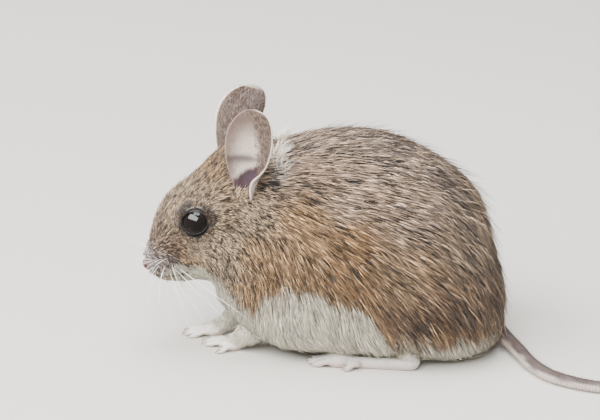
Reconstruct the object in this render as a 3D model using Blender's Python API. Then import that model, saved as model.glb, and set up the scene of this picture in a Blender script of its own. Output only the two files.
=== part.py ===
"""A long-tailed field mouse (wood mouse) crouching on all fours, life size, as a still model.

Run with: blender --background --python part.py

The mouse faces -X, its left side is at -Y, and it stands on the floor at z = 0.  The flesh is modelled
whole: a lofted trunk and head, and eggs of flesh for haunches, shoulders, cheeks and whisker pads, all
fused by a voxel remesh.  Thin cuts then part it into the pieces that a person would name.  Ears, legs,
feet, eyes, nose and tail are made on their own, each fitted to the flesh with a fine gap.
"""

import math

import bmesh
import bpy
from mathutils import Euler, Matrix, Vector

MM = 0.001
GAP = 0.3 * MM  # clearance between neighbouring solids
FLOOR = 0.0
SIDES = (("left", -1), ("right", 1))  # name and the sign of y

PAINTS = {  # colour and roughness
    "coat": ((0.36, 0.25, 0.17), 0.9),
    "bare_skin": ((0.62, 0.42, 0.38), 0.5),
    "eye": ((0.012, 0.009, 0.008), 0.05),
}
SHARP_ANGLE = math.radians(40)

# ---- fusing the flesh, and the faces that each piece keeps ----
BODY_VOXEL = 0.62 * MM
BODY_SMOOTHING = 10
BELLY_CLEARANCE = 1.0 * MM  # the fur of belly and rump hangs down to here
LIMB_VOXEL = 0.26 * MM
LIMB_SMOOTHING = 4
TRUNK_FACES = 1500
NECK_FACES = 420
HEAD_FACES = 2000
THIGH_FACES = 330
FORELEG_FACES = 160
FOREFOOT_FACES = 520
HINDFOOT_FACES = 640
TAIL_FACES = 200

# ---- trunk: x, lowest z, highest z and half width of each section, from chest to rump, in mm ----
TRUNK_SECTIONS = [
    (-20.5, 10.2, 36.0, 7.8),
    (-17.0, 7.4, 39.0, 10.4),
    (-12.5, 3.8, 41.1, 12.6),
    (-8.5, 1.6, 42.0, 13.9),
    (-4.0, 1.0, 42.8, 15.2),
    (3.0, 1.0, 44.0, 16.8),
    (10.0, 1.0, 43.7, 17.9),
    (17.0, 1.0, 41.4, 18.4),
    (23.0, 0.9, 37.9, 17.8),
    (28.0, 0.7, 34.4, 15.9),
    (32.0, 0.8, 27.7, 12.3),
    (34.9, 1.6, 16.5, 7.9),
    (36.2, 3.4, 9.6, 3.6),
]
TRUNK_WIDEST = 0.36  # height of the widest level, as a share of the section
TRUNK_SQUARENESS = (2.1, 4.0)  # superellipse powers above and below that level

# ---- head, in its own frame: origin at the nose tip, +x to the back, +z up ----
NOSE_TIP = Vector((-34.7, -1.7, 17.5)) * MM
HEAD_TURN = Euler((math.radians(-4.0), math.radians(-22.0), math.radians(5.0)))  # roll, pitch, yaw
HEAD_SECTIONS = [
    (0.4, -2.2, 1.2, 1.7),
    (1.6, -3.8, 2.3, 3.0),
    (3.0, -5.0, 4.0, 3.9),
    (4.6, -5.8, 6.4, 4.6),
    (6.6, -6.6, 8.6, 5.4),
    (9.0, -7.8, 10.5, 6.5),
    (12.0, -9.0, 11.6, 7.7),
    (16.0, -10.5, 12.7, 9.0),
    (20.0, -11.8, 14.3, 9.8),
    (25.0, -12.5, 15.8, 10.2),
    (30.0, -11.5, 15.0, 9.2),
]
HEAD_WIDEST = 0.42
HEAD_SQUARENESS = (1.9, 2.3)
EYE_CENTRE = (13.3, 5.7, 4.8)  # of the right eye; the left one mirrors it
EYE_RADIUS = 2.7
NOSE_CENTRE = (0.7, 0.0, -0.5)
NOSE_RADII = (1.2, 1.55, 1.15)

# ---- eggs of flesh in the body's frame: centre, radii and turn in degrees; sides are mirrored ----
BODY_MASSES = {
    "haunch": ((19.5, 11.0, 13.5), (13.5, 7.6, 12.0), (0, 8, 0)),
    "rump_skirt": ((24.0, 7.6, 6.2), (10.8, 8.4, 7.2), (0, 0, 0)),
    "shoulder": ((-11.5, 7.0, 16.5), (8.5, 6.6, 11.5), (0, -18, 0)),
}
HEAD_MASSES = {
    "cheek": ((16.5, 5.2, -3.2), (6.6, 4.6, 6.4), (0, 0, 0)),
    "whisker_pad": ((3.6, 2.4, -2.2), (3.0, 2.1, 2.7), (0, 20, -18)),
    "brow": ((13.4, 4.3, 6.2), (4.4, 3.0, 3.6), (0, 12, 0)),
}
LOWER_JAW = ((6.6, 0.0, -5.2), (5.6, 2.8, 2.0), (0, 14, 0))

# ---- where thin cuts part the flesh: a point on the plane and its normal, which points backwards ----
HEAD_CUT = ((-9.8, 0.0, 38.0), (0.93, 0.0, -0.36))
NECK_CUT = ((-5.2, 0.0, 38.0), (0.97, 0.0, -0.24))
THIGH_EGG = ((17.5, 17.5, 14.5), (12.5, 8.5, 12.5), (0, 10, 0))

# ---- ears: root, tip and the way the opening faces, in the body's frame ----
EARS = {
    "left": {
        "root": (-13.9, -7.6, 33.4),
        "tip": (-11.7, -11.2, 51.4),
        "opening": (-0.52, -0.85, 0.0),
        "half_width": 5.8,
    },
    "right": {
        "root": (-17.3, 5.6, 34.4),
        "tip": (-12.8, 9.4, 50.0),
        "opening": (-0.55, 0.83, 0.0),
        "half_width": 6.1,
    },
}
EAR_ROOT_SHARE = 0.40  # half width at the root, as a share of the greatest
EAR_WIDEST = 0.60  # its level, as a share of the ear's height
EAR_CURL_RADII = (2.7, 6.2, 9.0)  # at root, middle and tip
EAR_THICKNESS = 0.6
EAR_ROWS, EAR_COLUMNS = 9, 9

# ---- legs and feet: points of each stretch with its radius, (x, y, z, r), left side's y negative ----
FORELEGS = {
    "left": [
        (-8.6, -6.4, 11.0, 4.6),
        (-12.4, -5.8, 6.0, 2.9),
        (-14.8, -5.0, 3.0, 1.9),
        (-16.7, -4.3, 1.4, 1.6),
    ],
    "right": [
        (-11.4, 5.2, 11.0, 4.2),
        (-15.0, 4.5, 6.4, 2.5),
        (-17.6, 3.8, 3.2, 1.8),
        (-20.2, 3.3, 1.4, 1.6),
    ],
}
FORE_HEADING = {"left": 20.0, "right": 2.0}  # degrees that each foot turns inwards
WRIST_SHARE = 0.72  # where the wrist's cut crosses the foreleg's run of points
FORE_DIGITS = [  # forward and outwards from the wrist's end, length, and degrees of splay outwards
    (1.2, -1.35, 4.0, -10),
    (1.9, -0.45, 4.2, -3),
    (1.7, 0.6, 4.1, 6),
    (0.2, 1.4, 2.9, 46),
]
FORE_DIGIT_RADIUS = 0.62
PALM = ((0.9, 0.0, 1.0), (2.3, 1.9, 1.25))  # centre, forward of the wrist's end, and radii
HIND_DIGITS = [
    (12.8, -1.35, 3.8, -20),
    (14.3, -1.15, 4.7, -6),
    (14.8, 0.0, 4.8, 0),
    (14.4, 1.15, 4.5, 5),
    (10.4, 1.3, 2.6, 34),
]
HIND_DIGIT_RADIUS = 0.72
HIND_RUNS = {  # forward from the heel, inwards, height and radius
    "sole": [
        (-1.6, 0, 1.0, 0.6),
        (-0.9, 0, 1.1, 1.1),
        (3.0, 0, 1.1, 1.2),
        (8.0, 0, 0.95, 1.1),
        (12.0, 0, 0.95, 1.15),
        (15.0, 0, 0.95, 1.2),
    ],
    "ankle": [(0.4, 0.2, 1.9, 1.5), (0.8, 2.0, 3.6, 1.7), (1.2, 3.6, 6.0, 2.2)],
}
HIND_BALL = ((14.4, 0.2, 1.2), (2.8, 2.2, 1.5))  # centre and radii
HEELS = {"left": (17.7, -15.2), "right": (17.7, 15.2)}
HIND_HEADING = 9.0  # degrees that each foot turns inwards
CLAW_LENGTH = 1.0

# ---- tail: points with radius, from inside the rump to the tip; about 88 long behind the rump ----
TAIL_POINTS = [
    (30.5, 2.0, 4.6, 2.0),
    (34.2, 0.4, 3.0, 1.7),
    (36.8, -4.0, 1.9, 1.52),
    (38.9, -9.6, 1.55, 1.45),
    (41.2, -16.2, 1.35, 1.38),
    (45.6, -22.3, 1.25, 1.3),
    (55.0, -26.6, 1.1, 1.15),
    (71.0, -27.6, 0.9, 0.95),
    (88.0, -24.2, 0.7, 0.72),
    (102.5, -18.4, 0.48, 0.46),
]
TAIL_CUTS = (0.40, 0.70)  # where the tail's three lengths part, as shares of its rings


def clear_scene():
    for obj in list(bpy.data.objects):
        bpy.data.objects.remove(obj, do_unlink=True)


def link(name, mesh):
    obj = bpy.data.objects.new(name, mesh)
    bpy.context.scene.collection.objects.link(obj)
    return obj


def from_bmesh(name, mesh):
    bmesh.ops.recalc_face_normals(mesh, faces=mesh.faces)
    data = bpy.data.meshes.new(name)
    mesh.to_mesh(data)
    mesh.free()
    return link(name, data)


def smooth_rows(rows, steps):
    """The rows of numbers with smooth ones between them, as a Catmull-Rom curve runs through points."""
    padded = [rows[0], *rows, rows[-1]]
    smooth = []
    for before, a, b, after in zip(padded, padded[1:], padded[2:], padded[3:]):
        for i in range(steps):
            t = i / steps
            smooth.append([
                q + 0.5 * t * (r - p + t * (2 * p - 5 * q + 4 * r - s + t * (3 * (q - r) + s - p)))
                for p, q, r, s in zip(before, a, b, after)
            ])
    return [*smooth, list(rows[-1])]


def skin_rings(name, rings):
    """A closed mesh over rings of points, with a fan over each end."""
    mesh = bmesh.new()
    layers = [[mesh.verts.new(p) for p in ring] for ring in rings]
    count = len(rings[0])
    for lower, upper in zip(layers, layers[1:]):
        for i in range(count):
            j = (i + 1) % count
            mesh.faces.new((lower[i], lower[j], upper[j], upper[i]))
    for layer in (layers[0], layers[-1]):
        middle = mesh.verts.new(sum((v.co for v in layer), Vector()) / count)
        for i in range(count):
            mesh.faces.new((layer[i], layer[(i + 1) % count], middle))
    return from_bmesh(name, mesh)


def section_ring(x, low, high, half_width, widest, squareness, count=44):
    """A section across the body: a superellipse whose widest level lies below its middle."""
    level = low + (high - low) * widest
    ring = []
    for i in range(count):
        angle = 2 * math.pi * i / count
        c, s = math.cos(angle), math.sin(angle)
        rise, power = (high - level, squareness[0]) if s > 0 else (level - low, squareness[1])
        y = half_width * math.copysign(abs(c) ** (2 / power), c)
        z = level + rise * math.copysign(abs(s) ** (2 / power), s)
        ring.append(Vector((x, y, z)) * MM)
    return ring


def loft(name, sections, widest, squareness):
    rings = [section_ring(*row, widest, squareness) for row in smooth_rows(sections, 4)]
    return skin_rings(name, rings)


def egg(name, centre, radii, turn=(0, 0, 0), subdivisions=4):
    """An ellipsoid: centre and radii in mm, turn in degrees."""
    mesh = bmesh.new()
    bmesh.ops.create_icosphere(mesh, subdivisions=subdivisions, radius=1.0)
    place = Matrix.Translation(Vector(centre) * MM)
    place = place @ Euler([math.radians(a) for a in turn]).to_matrix().to_4x4()
    place = place @ Matrix.Diagonal((*(Vector(radii) * MM), 1.0))
    bmesh.ops.transform(mesh, matrix=place, verts=mesh.verts)
    return from_bmesh(name, mesh)


def mirrored(centre, turn, side):
    """A right-hand place and turn carried to that side: +1 keeps it, -1 mirrors it in the midplane."""
    return (centre[0], centre[1] * side, centre[2]), (turn[0] * side, turn[1], turn[2] * side)


def pair_of_eggs(name, centre, radii, turn):
    pair = []
    for _, side in SIDES:
        place, side_turn = mirrored(centre, turn, side)
        pair.append(egg(name, place, radii, side_turn))
    return pair


def tube(name, points, sides=14, steps=5, floor=None):
    """A round limb through points (x, y, z, radius) in mm, flat where it would sink into a floor."""
    rows = smooth_rows(points, steps)
    centres = [Vector(row[:3]) for row in rows]
    rings = []
    for i, row in enumerate(rows):
        along = (centres[min(i + 1, len(rows) - 1)] - centres[max(i - 1, 0)]).normalized()
        side = along.cross(Vector((0, 0, 1))).normalized()
        up = side.cross(along)
        ring = []
        for k in range(sides):
            angle = 2 * math.pi * (k + 0.5) / sides
            point = centres[i] + (side * math.cos(angle) + up * math.sin(angle)) * row[3]
            if floor is not None:
                point.z = max(point.z, floor)
            ring.append(point * MM)
        rings.append(ring)
    return skin_rings(name, rings)


def apply_modifier(obj, kind, **settings):
    modifier = obj.modifiers.new(kind.title(), kind)
    for key, value in settings.items():
        setattr(modifier, key, value)
    graph = bpy.context.evaluated_depsgraph_get()
    mesh = bpy.data.meshes.new_from_object(obj.evaluated_get(graph))
    obj.modifiers.clear()
    old = obj.data
    obj.data = mesh
    bpy.data.meshes.remove(old)
    return obj


def fuse(name, objects, voxel, smoothing):
    """One skin over closed meshes that overlap."""
    mesh = bmesh.new()
    for obj in objects:
        part = obj.data.copy()
        part.transform(obj.matrix_world)
        mesh.from_mesh(part)
        bpy.data.meshes.remove(part)
        bpy.data.objects.remove(obj)
    data = bpy.data.meshes.new(name)
    mesh.to_mesh(data)
    mesh.free()
    whole = link(name, data)
    apply_modifier(whole, "REMESH", mode="VOXEL", voxel_size=voxel)
    if smoothing:
        apply_modifier(whole, "SMOOTH", factor=0.5, iterations=smoothing)
    return whole


def boolean(obj, operation, cutter):
    return apply_modifier(obj, "BOOLEAN", operation=operation, object=cutter, solver="EXACT")


def copy_of(obj, name):
    return link(name, obj.data.copy())


def grown(obj, distance):
    """A copy pushed out along its normals, which cuts a fine gap round the original."""
    return apply_modifier(copy_of(obj, obj.name + "_grown"), "DISPLACE", strength=distance, mid_level=0.0)


def slab_behind(point, normal, size=0.12):
    """A block whose face lies on the plane, and which reaches to the side that the normal points to."""
    mesh = bmesh.new()
    bmesh.ops.create_cube(mesh, size=size)
    turn = normal.to_track_quat("Z", "Y").to_matrix().to_4x4()
    bmesh.ops.transform(mesh, matrix=Matrix.Translation(point) @ turn, verts=mesh.verts)
    bmesh.ops.translate(mesh, vec=normal * size / 2, verts=mesh.verts)
    return from_bmesh("slab", mesh)


def part_by_plane(obj, name, cut):
    """Parts obj with a thin plane cut: obj keeps what is behind, and the front piece is returned."""
    point, normal = Vector(cut[0]) * MM, Vector(cut[1]).normalized()
    rear = slab_behind(point - normal * GAP / 2, normal)
    front = boolean(copy_of(obj, name), "DIFFERENCE", rear)
    fore = slab_behind(point + normal * GAP / 2, -normal)
    boolean(obj, "DIFFERENCE", fore)
    remove(rear, fore)
    return front


def keep_largest(obj):
    """Drops the crumbs that a cut can leave beside the main piece."""
    mesh = bmesh.new()
    mesh.from_mesh(obj.data)
    waiting = set(mesh.verts)
    islands = []
    while waiting:
        front = [waiting.pop()]
        island = []
        while front:
            vertex = front.pop()
            island.append(vertex)
            near = {edge.other_vert(vertex) for edge in vertex.link_edges} & waiting
            waiting -= near
            front += near
        islands.append(island)
    islands.sort(key=len)
    crumbs = [vertex for island in islands[:-1] for vertex in island]
    bmesh.ops.delete(mesh, geom=crumbs, context="VERTS")
    mesh.to_mesh(obj.data)
    mesh.free()
    return obj


def close_slits(obj, rounds=4):
    """Welds shut the slits that triangulating leaves where three points of a cut's rim are in line."""
    mesh = bmesh.new()
    mesh.from_mesh(obj.data)
    for _ in range(rounds):
        targets = {}
        for vertex in mesh.verts:
            slit = [edge for edge in vertex.link_edges if len(edge.link_faces) == 1]
            if len(slit) == 2:
                shortest = min(slit, key=lambda edge: edge.calc_length())
                neighbour = shortest.other_vert(vertex)
                if neighbour not in targets:
                    targets[vertex] = neighbour
        if not targets:
            break
        bmesh.ops.weld_verts(mesh, targetmap=targets)
    mesh.to_mesh(obj.data)
    mesh.free()


def thin_out(obj, faces):
    """Fewer triangles, with the form kept."""
    keep_largest(obj)
    apply_modifier(obj, "TRIANGULATE")
    close_slits(obj)
    share = faces / len(obj.data.polygons)
    if share < 1:
        apply_modifier(obj, "DECIMATE", ratio=share, use_collapse_triangulate=True)
        close_slits(obj)
    return obj


def remove(*objects):
    for obj in objects:
        bpy.data.objects.remove(obj)


def head_frame():
    return Matrix.Translation(NOSE_TIP) @ HEAD_TURN.to_matrix().to_4x4()


def in_head(obj):
    obj.data.transform(head_frame())
    return obj


def make_flesh():
    """Trunk, neck and head as one skin."""
    pieces = [loft("trunk_loft", TRUNK_SECTIONS, TRUNK_WIDEST, TRUNK_SQUARENESS)]
    for name, (centre, radii, turn) in BODY_MASSES.items():
        pieces += pair_of_eggs(name, centre, radii, turn)
    head_pieces = [loft("head_loft", HEAD_SECTIONS, HEAD_WIDEST, HEAD_SQUARENESS), egg("jaw", *LOWER_JAW)]
    for name, (centre, radii, turn) in HEAD_MASSES.items():
        head_pieces += pair_of_eggs(name, centre, radii, turn)
    pieces += [in_head(piece) for piece in head_pieces]
    flesh = fuse("flesh", pieces, BODY_VOXEL, BODY_SMOOTHING)
    for vertex in flesh.data.vertices:
        vertex.co.z = max(vertex.co.z, BELLY_CLEARANCE)
    return flesh


def ear_outline(share):
    """The ear's half width at a share of its height, as a share of the greatest half width."""
    if share < EAR_WIDEST:
        return EAR_ROOT_SHARE + (1 - EAR_ROOT_SHARE) * math.sin(math.pi / 2 * share / EAR_WIDEST)
    return math.sqrt(max(0.0, 1 - ((share - EAR_WIDEST) / (1 - EAR_WIDEST)) ** 2))


def curl_radius(share):
    root, middle, tip = EAR_CURL_RADII
    return root + (middle - root) * min(share * 2, 1) + (tip - middle) * max(share * 2 - 1, 0)


def make_ear(name, root, tip, opening, half_width):
    """A thin cupped shell with an egg-shaped outline, rolled round its length, tightest at the root."""
    root, tip = Vector(root), Vector(tip)
    up = (tip - root).normalized()
    facing = (Vector(opening) - up * up.dot(Vector(opening))).normalized()
    across = up.cross(facing)
    height = (tip - root).length
    sheets = []
    for depth in (EAR_THICKNESS / 2, -EAR_THICKNESS / 2):
        rows = []
        for i in range(EAR_ROWS):
            share = math.sin(math.pi / 2 * i / EAR_ROWS)
            width, radius = half_width * ear_outline(share), curl_radius(share)
            row = []
            for j in range(EAR_COLUMNS):
                angle = width / radius * (2 * j / (EAR_COLUMNS - 1) - 1)
                reach = radius - depth
                forward = radius - reach * math.cos(angle)
                sideways = across * math.sin(angle) * reach
                row.append(root + up * height * share + sideways + facing * forward)
            rows.append(row)
        sheets.append(rows)
    mesh = bmesh.new()
    faces_of = [[[mesh.verts.new(p * MM) for p in row] for row in sheet] for sheet in sheets]
    crown = [mesh.verts.new((tip + facing * d) * MM) for d in (EAR_THICKNESS / 2, -EAR_THICKNESS / 2)]
    for sheet, top in zip(faces_of, crown):
        for low, high in zip(sheet, sheet[1:]):
            for a, b, c, d in zip(low, low[1:], high[1:], high):
                mesh.faces.new((a, b, c, d))
        for a, b in zip(sheet[-1], sheet[-1][1:]):
            mesh.faces.new((a, b, top))
    rims = [
        [row[0] for row in reversed(sheet)] + sheet[0][1:-1] + [row[-1] for row in sheet] + [top]
        for sheet, top in zip(faces_of, crown)
    ]
    outer, inner = rims
    for i in range(len(outer)):
        mesh.faces.new((outer[i - 1], outer[i], inner[i], inner[i - 1]))
    return from_bmesh(name, mesh)


def digit(base, heading, length, radius):
    """A toe as points with radii: base, knuckle, pad and claw."""
    along = Vector((-math.cos(heading), -math.sin(heading), 0))
    reach = [(0.0, 1.3, 1.05), (0.42, 1.75, 0.95), (0.8, 1.05, 0.88), (1.0, 0.88, 0.88)]
    points = []
    for share, lift, size in reach:
        spot = base + along * length * share
        points.append((spot.x, spot.y, radius * lift, radius * size))
    tip = base + along * (length + CLAW_LENGTH * 0.55)
    end = base + along * (length + CLAW_LENGTH)
    return [*points, (tip.x, tip.y, radius * 0.75, 0.36), (end.x, end.y, 0.32, 0.27)]


def toes(middle, heading, side, digits, radius):
    """Tubes for the digits of a foot, each placed forward and outwards from its middle, and splayed."""
    along = Vector((-math.cos(heading), -math.sin(heading), 0))
    outwards = Vector((0, side, 0))
    made = []
    for forward, across, length, splay in digits:
        base = Vector((*middle, 0)) + along * forward + outwards * across
        turn = heading - side * math.radians(splay)
        made.append(tube("digit", digit(base, turn, length, radius), sides=10, steps=3, floor=FLOOR))
    return made


def make_foreleg(side_name, side, body_cutter):
    """The foreleg and its foot, fused and then parted at the wrist."""
    points = FORELEGS[side_name]
    palm = points[-1]
    heading = side * math.radians(FORE_HEADING[side_name])
    (forward, _, height), radii = PALM
    middle = Vector((palm[0] - forward, palm[1], height))
    pieces = [
        tube("leg", points, floor=FLOOR),
        egg("palm", middle, radii, (0, 0, math.degrees(heading)), subdivisions=3),
        *toes(palm[:2], heading, side, FORE_DIGITS, FORE_DIGIT_RADIUS),
    ]
    limb = fuse("foreleg_" + side_name, pieces, LIMB_VOXEL, LIMB_SMOOTHING)
    settle(limb)
    boolean(limb, "DIFFERENCE", body_cutter)
    wrist_run = smooth_rows(points, 10)
    i = int(WRIST_SHARE * len(wrist_run))
    here, before = Vector(wrist_run[i][:3]), Vector(wrist_run[i - 1][:3])
    foot = part_by_plane(limb, "forefoot_" + side_name, (here, before - here))
    thin_out(foot, FOREFOOT_FACES)
    settle(foot)
    return thin_out(limb, FORELEG_FACES), foot


def make_hindfoot(side_name, side):
    """A long sole with its ankle, ball and five digits."""
    x, y = HEELS[side_name]
    heading = side * math.radians(HIND_HEADING)
    along = Vector((-math.cos(heading), -math.sin(heading), 0))
    pieces = toes((x, y), heading, side, HIND_DIGITS, HIND_DIGIT_RADIUS)
    for name, run in HIND_RUNS.items():
        points = []
        for forward, inwards, z, r in run:
            spot = Vector((x, y - side * inwards, 0)) + along * forward
            points.append((spot.x, spot.y, z, r))
        pieces.append(tube(name, points, floor=FLOOR))
    (forward, inwards, height), radii = HIND_BALL
    middle = Vector((x, y - side * inwards, height)) + along * forward
    pieces.append(egg("ball", middle, radii, (0, 0, math.degrees(heading)), subdivisions=3))
    foot = fuse("hindfoot_" + side_name, pieces, LIMB_VOXEL, LIMB_SMOOTHING)
    settle(foot)
    thin_out(foot, HINDFOOT_FACES)
    settle(foot)
    return foot


def settle(obj, reach=0.3 * MM):
    """Flattens a foot's underside: all that lies within reach of the floor, or below it, meets it."""
    for vertex in obj.data.vertices:
        if vertex.co.z < reach:
            vertex.co.z = FLOOR


def make_tail(body_cutter):
    whole = tube("tail", TAIL_POINTS, sides=12, steps=7, floor=FLOOR)
    boolean(whole, "DIFFERENCE", body_cutter)
    run = smooth_rows(TAIL_POINTS, 7)
    lengths = []
    for name, share in zip(("tail_tip", "tail_middle"), reversed(TAIL_CUTS)):
        i = int(share * len(run))
        here, before = Vector(run[i][:3]), Vector(run[i - 1][:3])
        piece = part_by_plane(whole, name, (here, before - here))
        lengths.append(piece)
    whole.name = "tail_base"
    return [thin_out(piece, TAIL_FACES) for piece in (whole, *lengths)]


def paint(obj, name):
    colour, roughness = PAINTS[name]
    material = bpy.data.materials.get(name) or bpy.data.materials.new(name)
    material.use_nodes = True
    shader = material.node_tree.nodes["Principled BSDF"]
    shader.inputs["Base Color"].default_value = (*colour, 1.0)
    shader.inputs["Roughness"].default_value = roughness
    obj.data.materials.clear()
    obj.data.materials.append(material)
    obj.data.shade_smooth()
    obj.data.set_sharp_from_angle(angle=SHARP_ANGLE)


def centre_on_floor(objects):
    """Moves all the solids so that the middle of their box's underside is the origin."""
    corners = [vertex.co for obj in objects for vertex in obj.data.vertices]
    low = Vector([min(c[axis] for c in corners) for axis in range(3)])
    high = Vector([max(c[axis] for c in corners) for axis in range(3)])
    shift = Matrix.Translation(Vector((-(low.x + high.x) / 2, -(low.y + high.y) / 2, -low.z)))
    for obj in objects:
        obj.data.transform(shift)


def main():
    clear_scene()
    trunk = make_flesh()
    body_cutter = grown(trunk, GAP)
    bare = make_tail(body_cutter)
    for side_name, side in SIDES:
        ear = make_ear("ear_" + side_name, **EARS[side_name])
        bare.append(boolean(ear, "DIFFERENCE", body_cutter))
        bare += make_foreleg(side_name, side, body_cutter)
    remove(body_cutter)

    for side_name, side in SIDES:
        foot = make_hindfoot(side_name, side)
        pocket = fuse("pocket", [grown(foot, GAP)], LIMB_VOXEL, 0)
        boolean(trunk, "DIFFERENCE", pocket)
        remove(pocket)
        bare.append(foot)

    head = part_by_plane(trunk, "head", HEAD_CUT)
    neck = part_by_plane(trunk, "neck", NECK_CUT)
    coat = []
    for side_name, side in SIDES:
        place, turn = mirrored(THIGH_EGG[0], THIGH_EGG[2], side)
        inner = egg("inner", place, THIGH_EGG[1], turn)
        outer = grown(inner, GAP)
        thigh = boolean(copy_of(trunk, "thigh_" + side_name), "INTERSECT", inner)
        boolean(trunk, "DIFFERENCE", outer)
        remove(inner, outer)
        coat.append(thin_out(thigh, THIGH_FACES))

    eyes = []
    for side_name, side in SIDES:
        place, _ = mirrored(EYE_CENTRE, (0, 0, 0), side)
        eyes.append(in_head(egg("eye_" + side_name, place, [EYE_RADIUS] * 3, subdivisions=3)))
    nose = in_head(egg("nose", NOSE_CENTRE, NOSE_RADII, subdivisions=3))
    for ball in (*eyes, nose):
        socket = grown(ball, GAP)
        boolean(head, "DIFFERENCE", socket)
        remove(socket)
    bare.append(nose)

    trunk.name = "trunk"
    coat += [thin_out(head, HEAD_FACES), thin_out(neck, NECK_FACES), thin_out(trunk, TRUNK_FACES)]
    centre_on_floor([*coat, *bare, *eyes])
    for objects, paint_name in ((coat, "coat"), (bare, "bare_skin"), (eyes, "eye")):
        for obj in objects:
            paint(obj, paint_name)


main()
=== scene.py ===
"""A field mouse at rest: skin, coat, eyes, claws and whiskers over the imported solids, in a plain studio.

Shapes are worked out in millimetres from the body's own origin, which lies on the floor under the
shoulders, with +X towards the tail and +Z up, and are moved into the part's frame as they are made.
The head has its own frame, from the tip of the nose, with +X back along the muzzle.
"""
import math
from collections import namedtuple

import bmesh
import bpy
import numpy as np
from mathutils import Euler, Matrix, Vector
from mathutils.bvhtree import BVHTree


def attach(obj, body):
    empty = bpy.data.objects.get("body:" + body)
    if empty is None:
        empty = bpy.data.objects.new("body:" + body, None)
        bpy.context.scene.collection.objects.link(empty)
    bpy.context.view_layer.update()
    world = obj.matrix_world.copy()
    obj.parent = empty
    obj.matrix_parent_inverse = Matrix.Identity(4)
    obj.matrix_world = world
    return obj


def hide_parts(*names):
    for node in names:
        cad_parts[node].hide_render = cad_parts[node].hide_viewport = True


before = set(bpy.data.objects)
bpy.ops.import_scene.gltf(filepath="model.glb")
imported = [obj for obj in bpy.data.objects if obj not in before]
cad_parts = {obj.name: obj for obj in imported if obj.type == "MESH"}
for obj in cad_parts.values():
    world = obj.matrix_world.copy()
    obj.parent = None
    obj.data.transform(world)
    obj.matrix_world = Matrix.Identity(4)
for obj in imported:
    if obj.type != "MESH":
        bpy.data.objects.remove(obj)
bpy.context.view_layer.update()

MM = 0.001
TURN = 2 * math.pi
ORIGIN = np.array((-33.91, 5.05, 0.0))  # the body's own origin in the part's frame
RNG = np.random.default_rng(41)
COVER = 1.0  # share of the coat that is grown
SIDES = (("left", -1), ("right", 1))


# ---- colours as seen, sRGB 0 to 255 ----
def seen(*rgb):
    """The linear colour of an sRGB one."""
    c = np.array(rgb) / 255.0
    return np.where(c <= 0.04045, c / 12.92, ((c + 0.055) / 1.055) ** 2.4)


GREY_BROWN = seen(232, 200, 173)
UMBER = seen(176, 148, 122)
BUFF = seen(200, 160, 116)
OCHRE = seen(194, 150, 102)
SAND = seen(180, 139, 96)
HAZEL = seen(187, 153, 118)
FAWN = seen(218, 188, 150)
PALE_BUFF = seen(242, 212, 174)
TAN = seen(176, 138, 98)
SMOKE = seen(206, 190, 184)
PALE_SMOKE = seen(232, 220, 218)
# painted shade: a darkened brown, used only low on the haunch and rump
SHADED_CHESTNUT = seen(118, 88, 64)
RUSSET = seen(144, 112, 86)
WHITE_FUR = seen(246, 237, 216)
EAR_WHITE = seen(255, 238, 222)
SOOT = seen(46, 38, 34)
SLATE = seen(66, 60, 58)
BLACK_HAIR = seen(40, 34, 31)
PINK_SKIN = seen(226, 206, 200)
PALE_SKIN = seen(246, 238, 234)
NOSE_SKIN = seen(150, 116, 110)
LID_SKIN = seen(16, 12, 12)
MOUTH_SKIN_AND_SHADE = seen(92, 60, 58)

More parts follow.
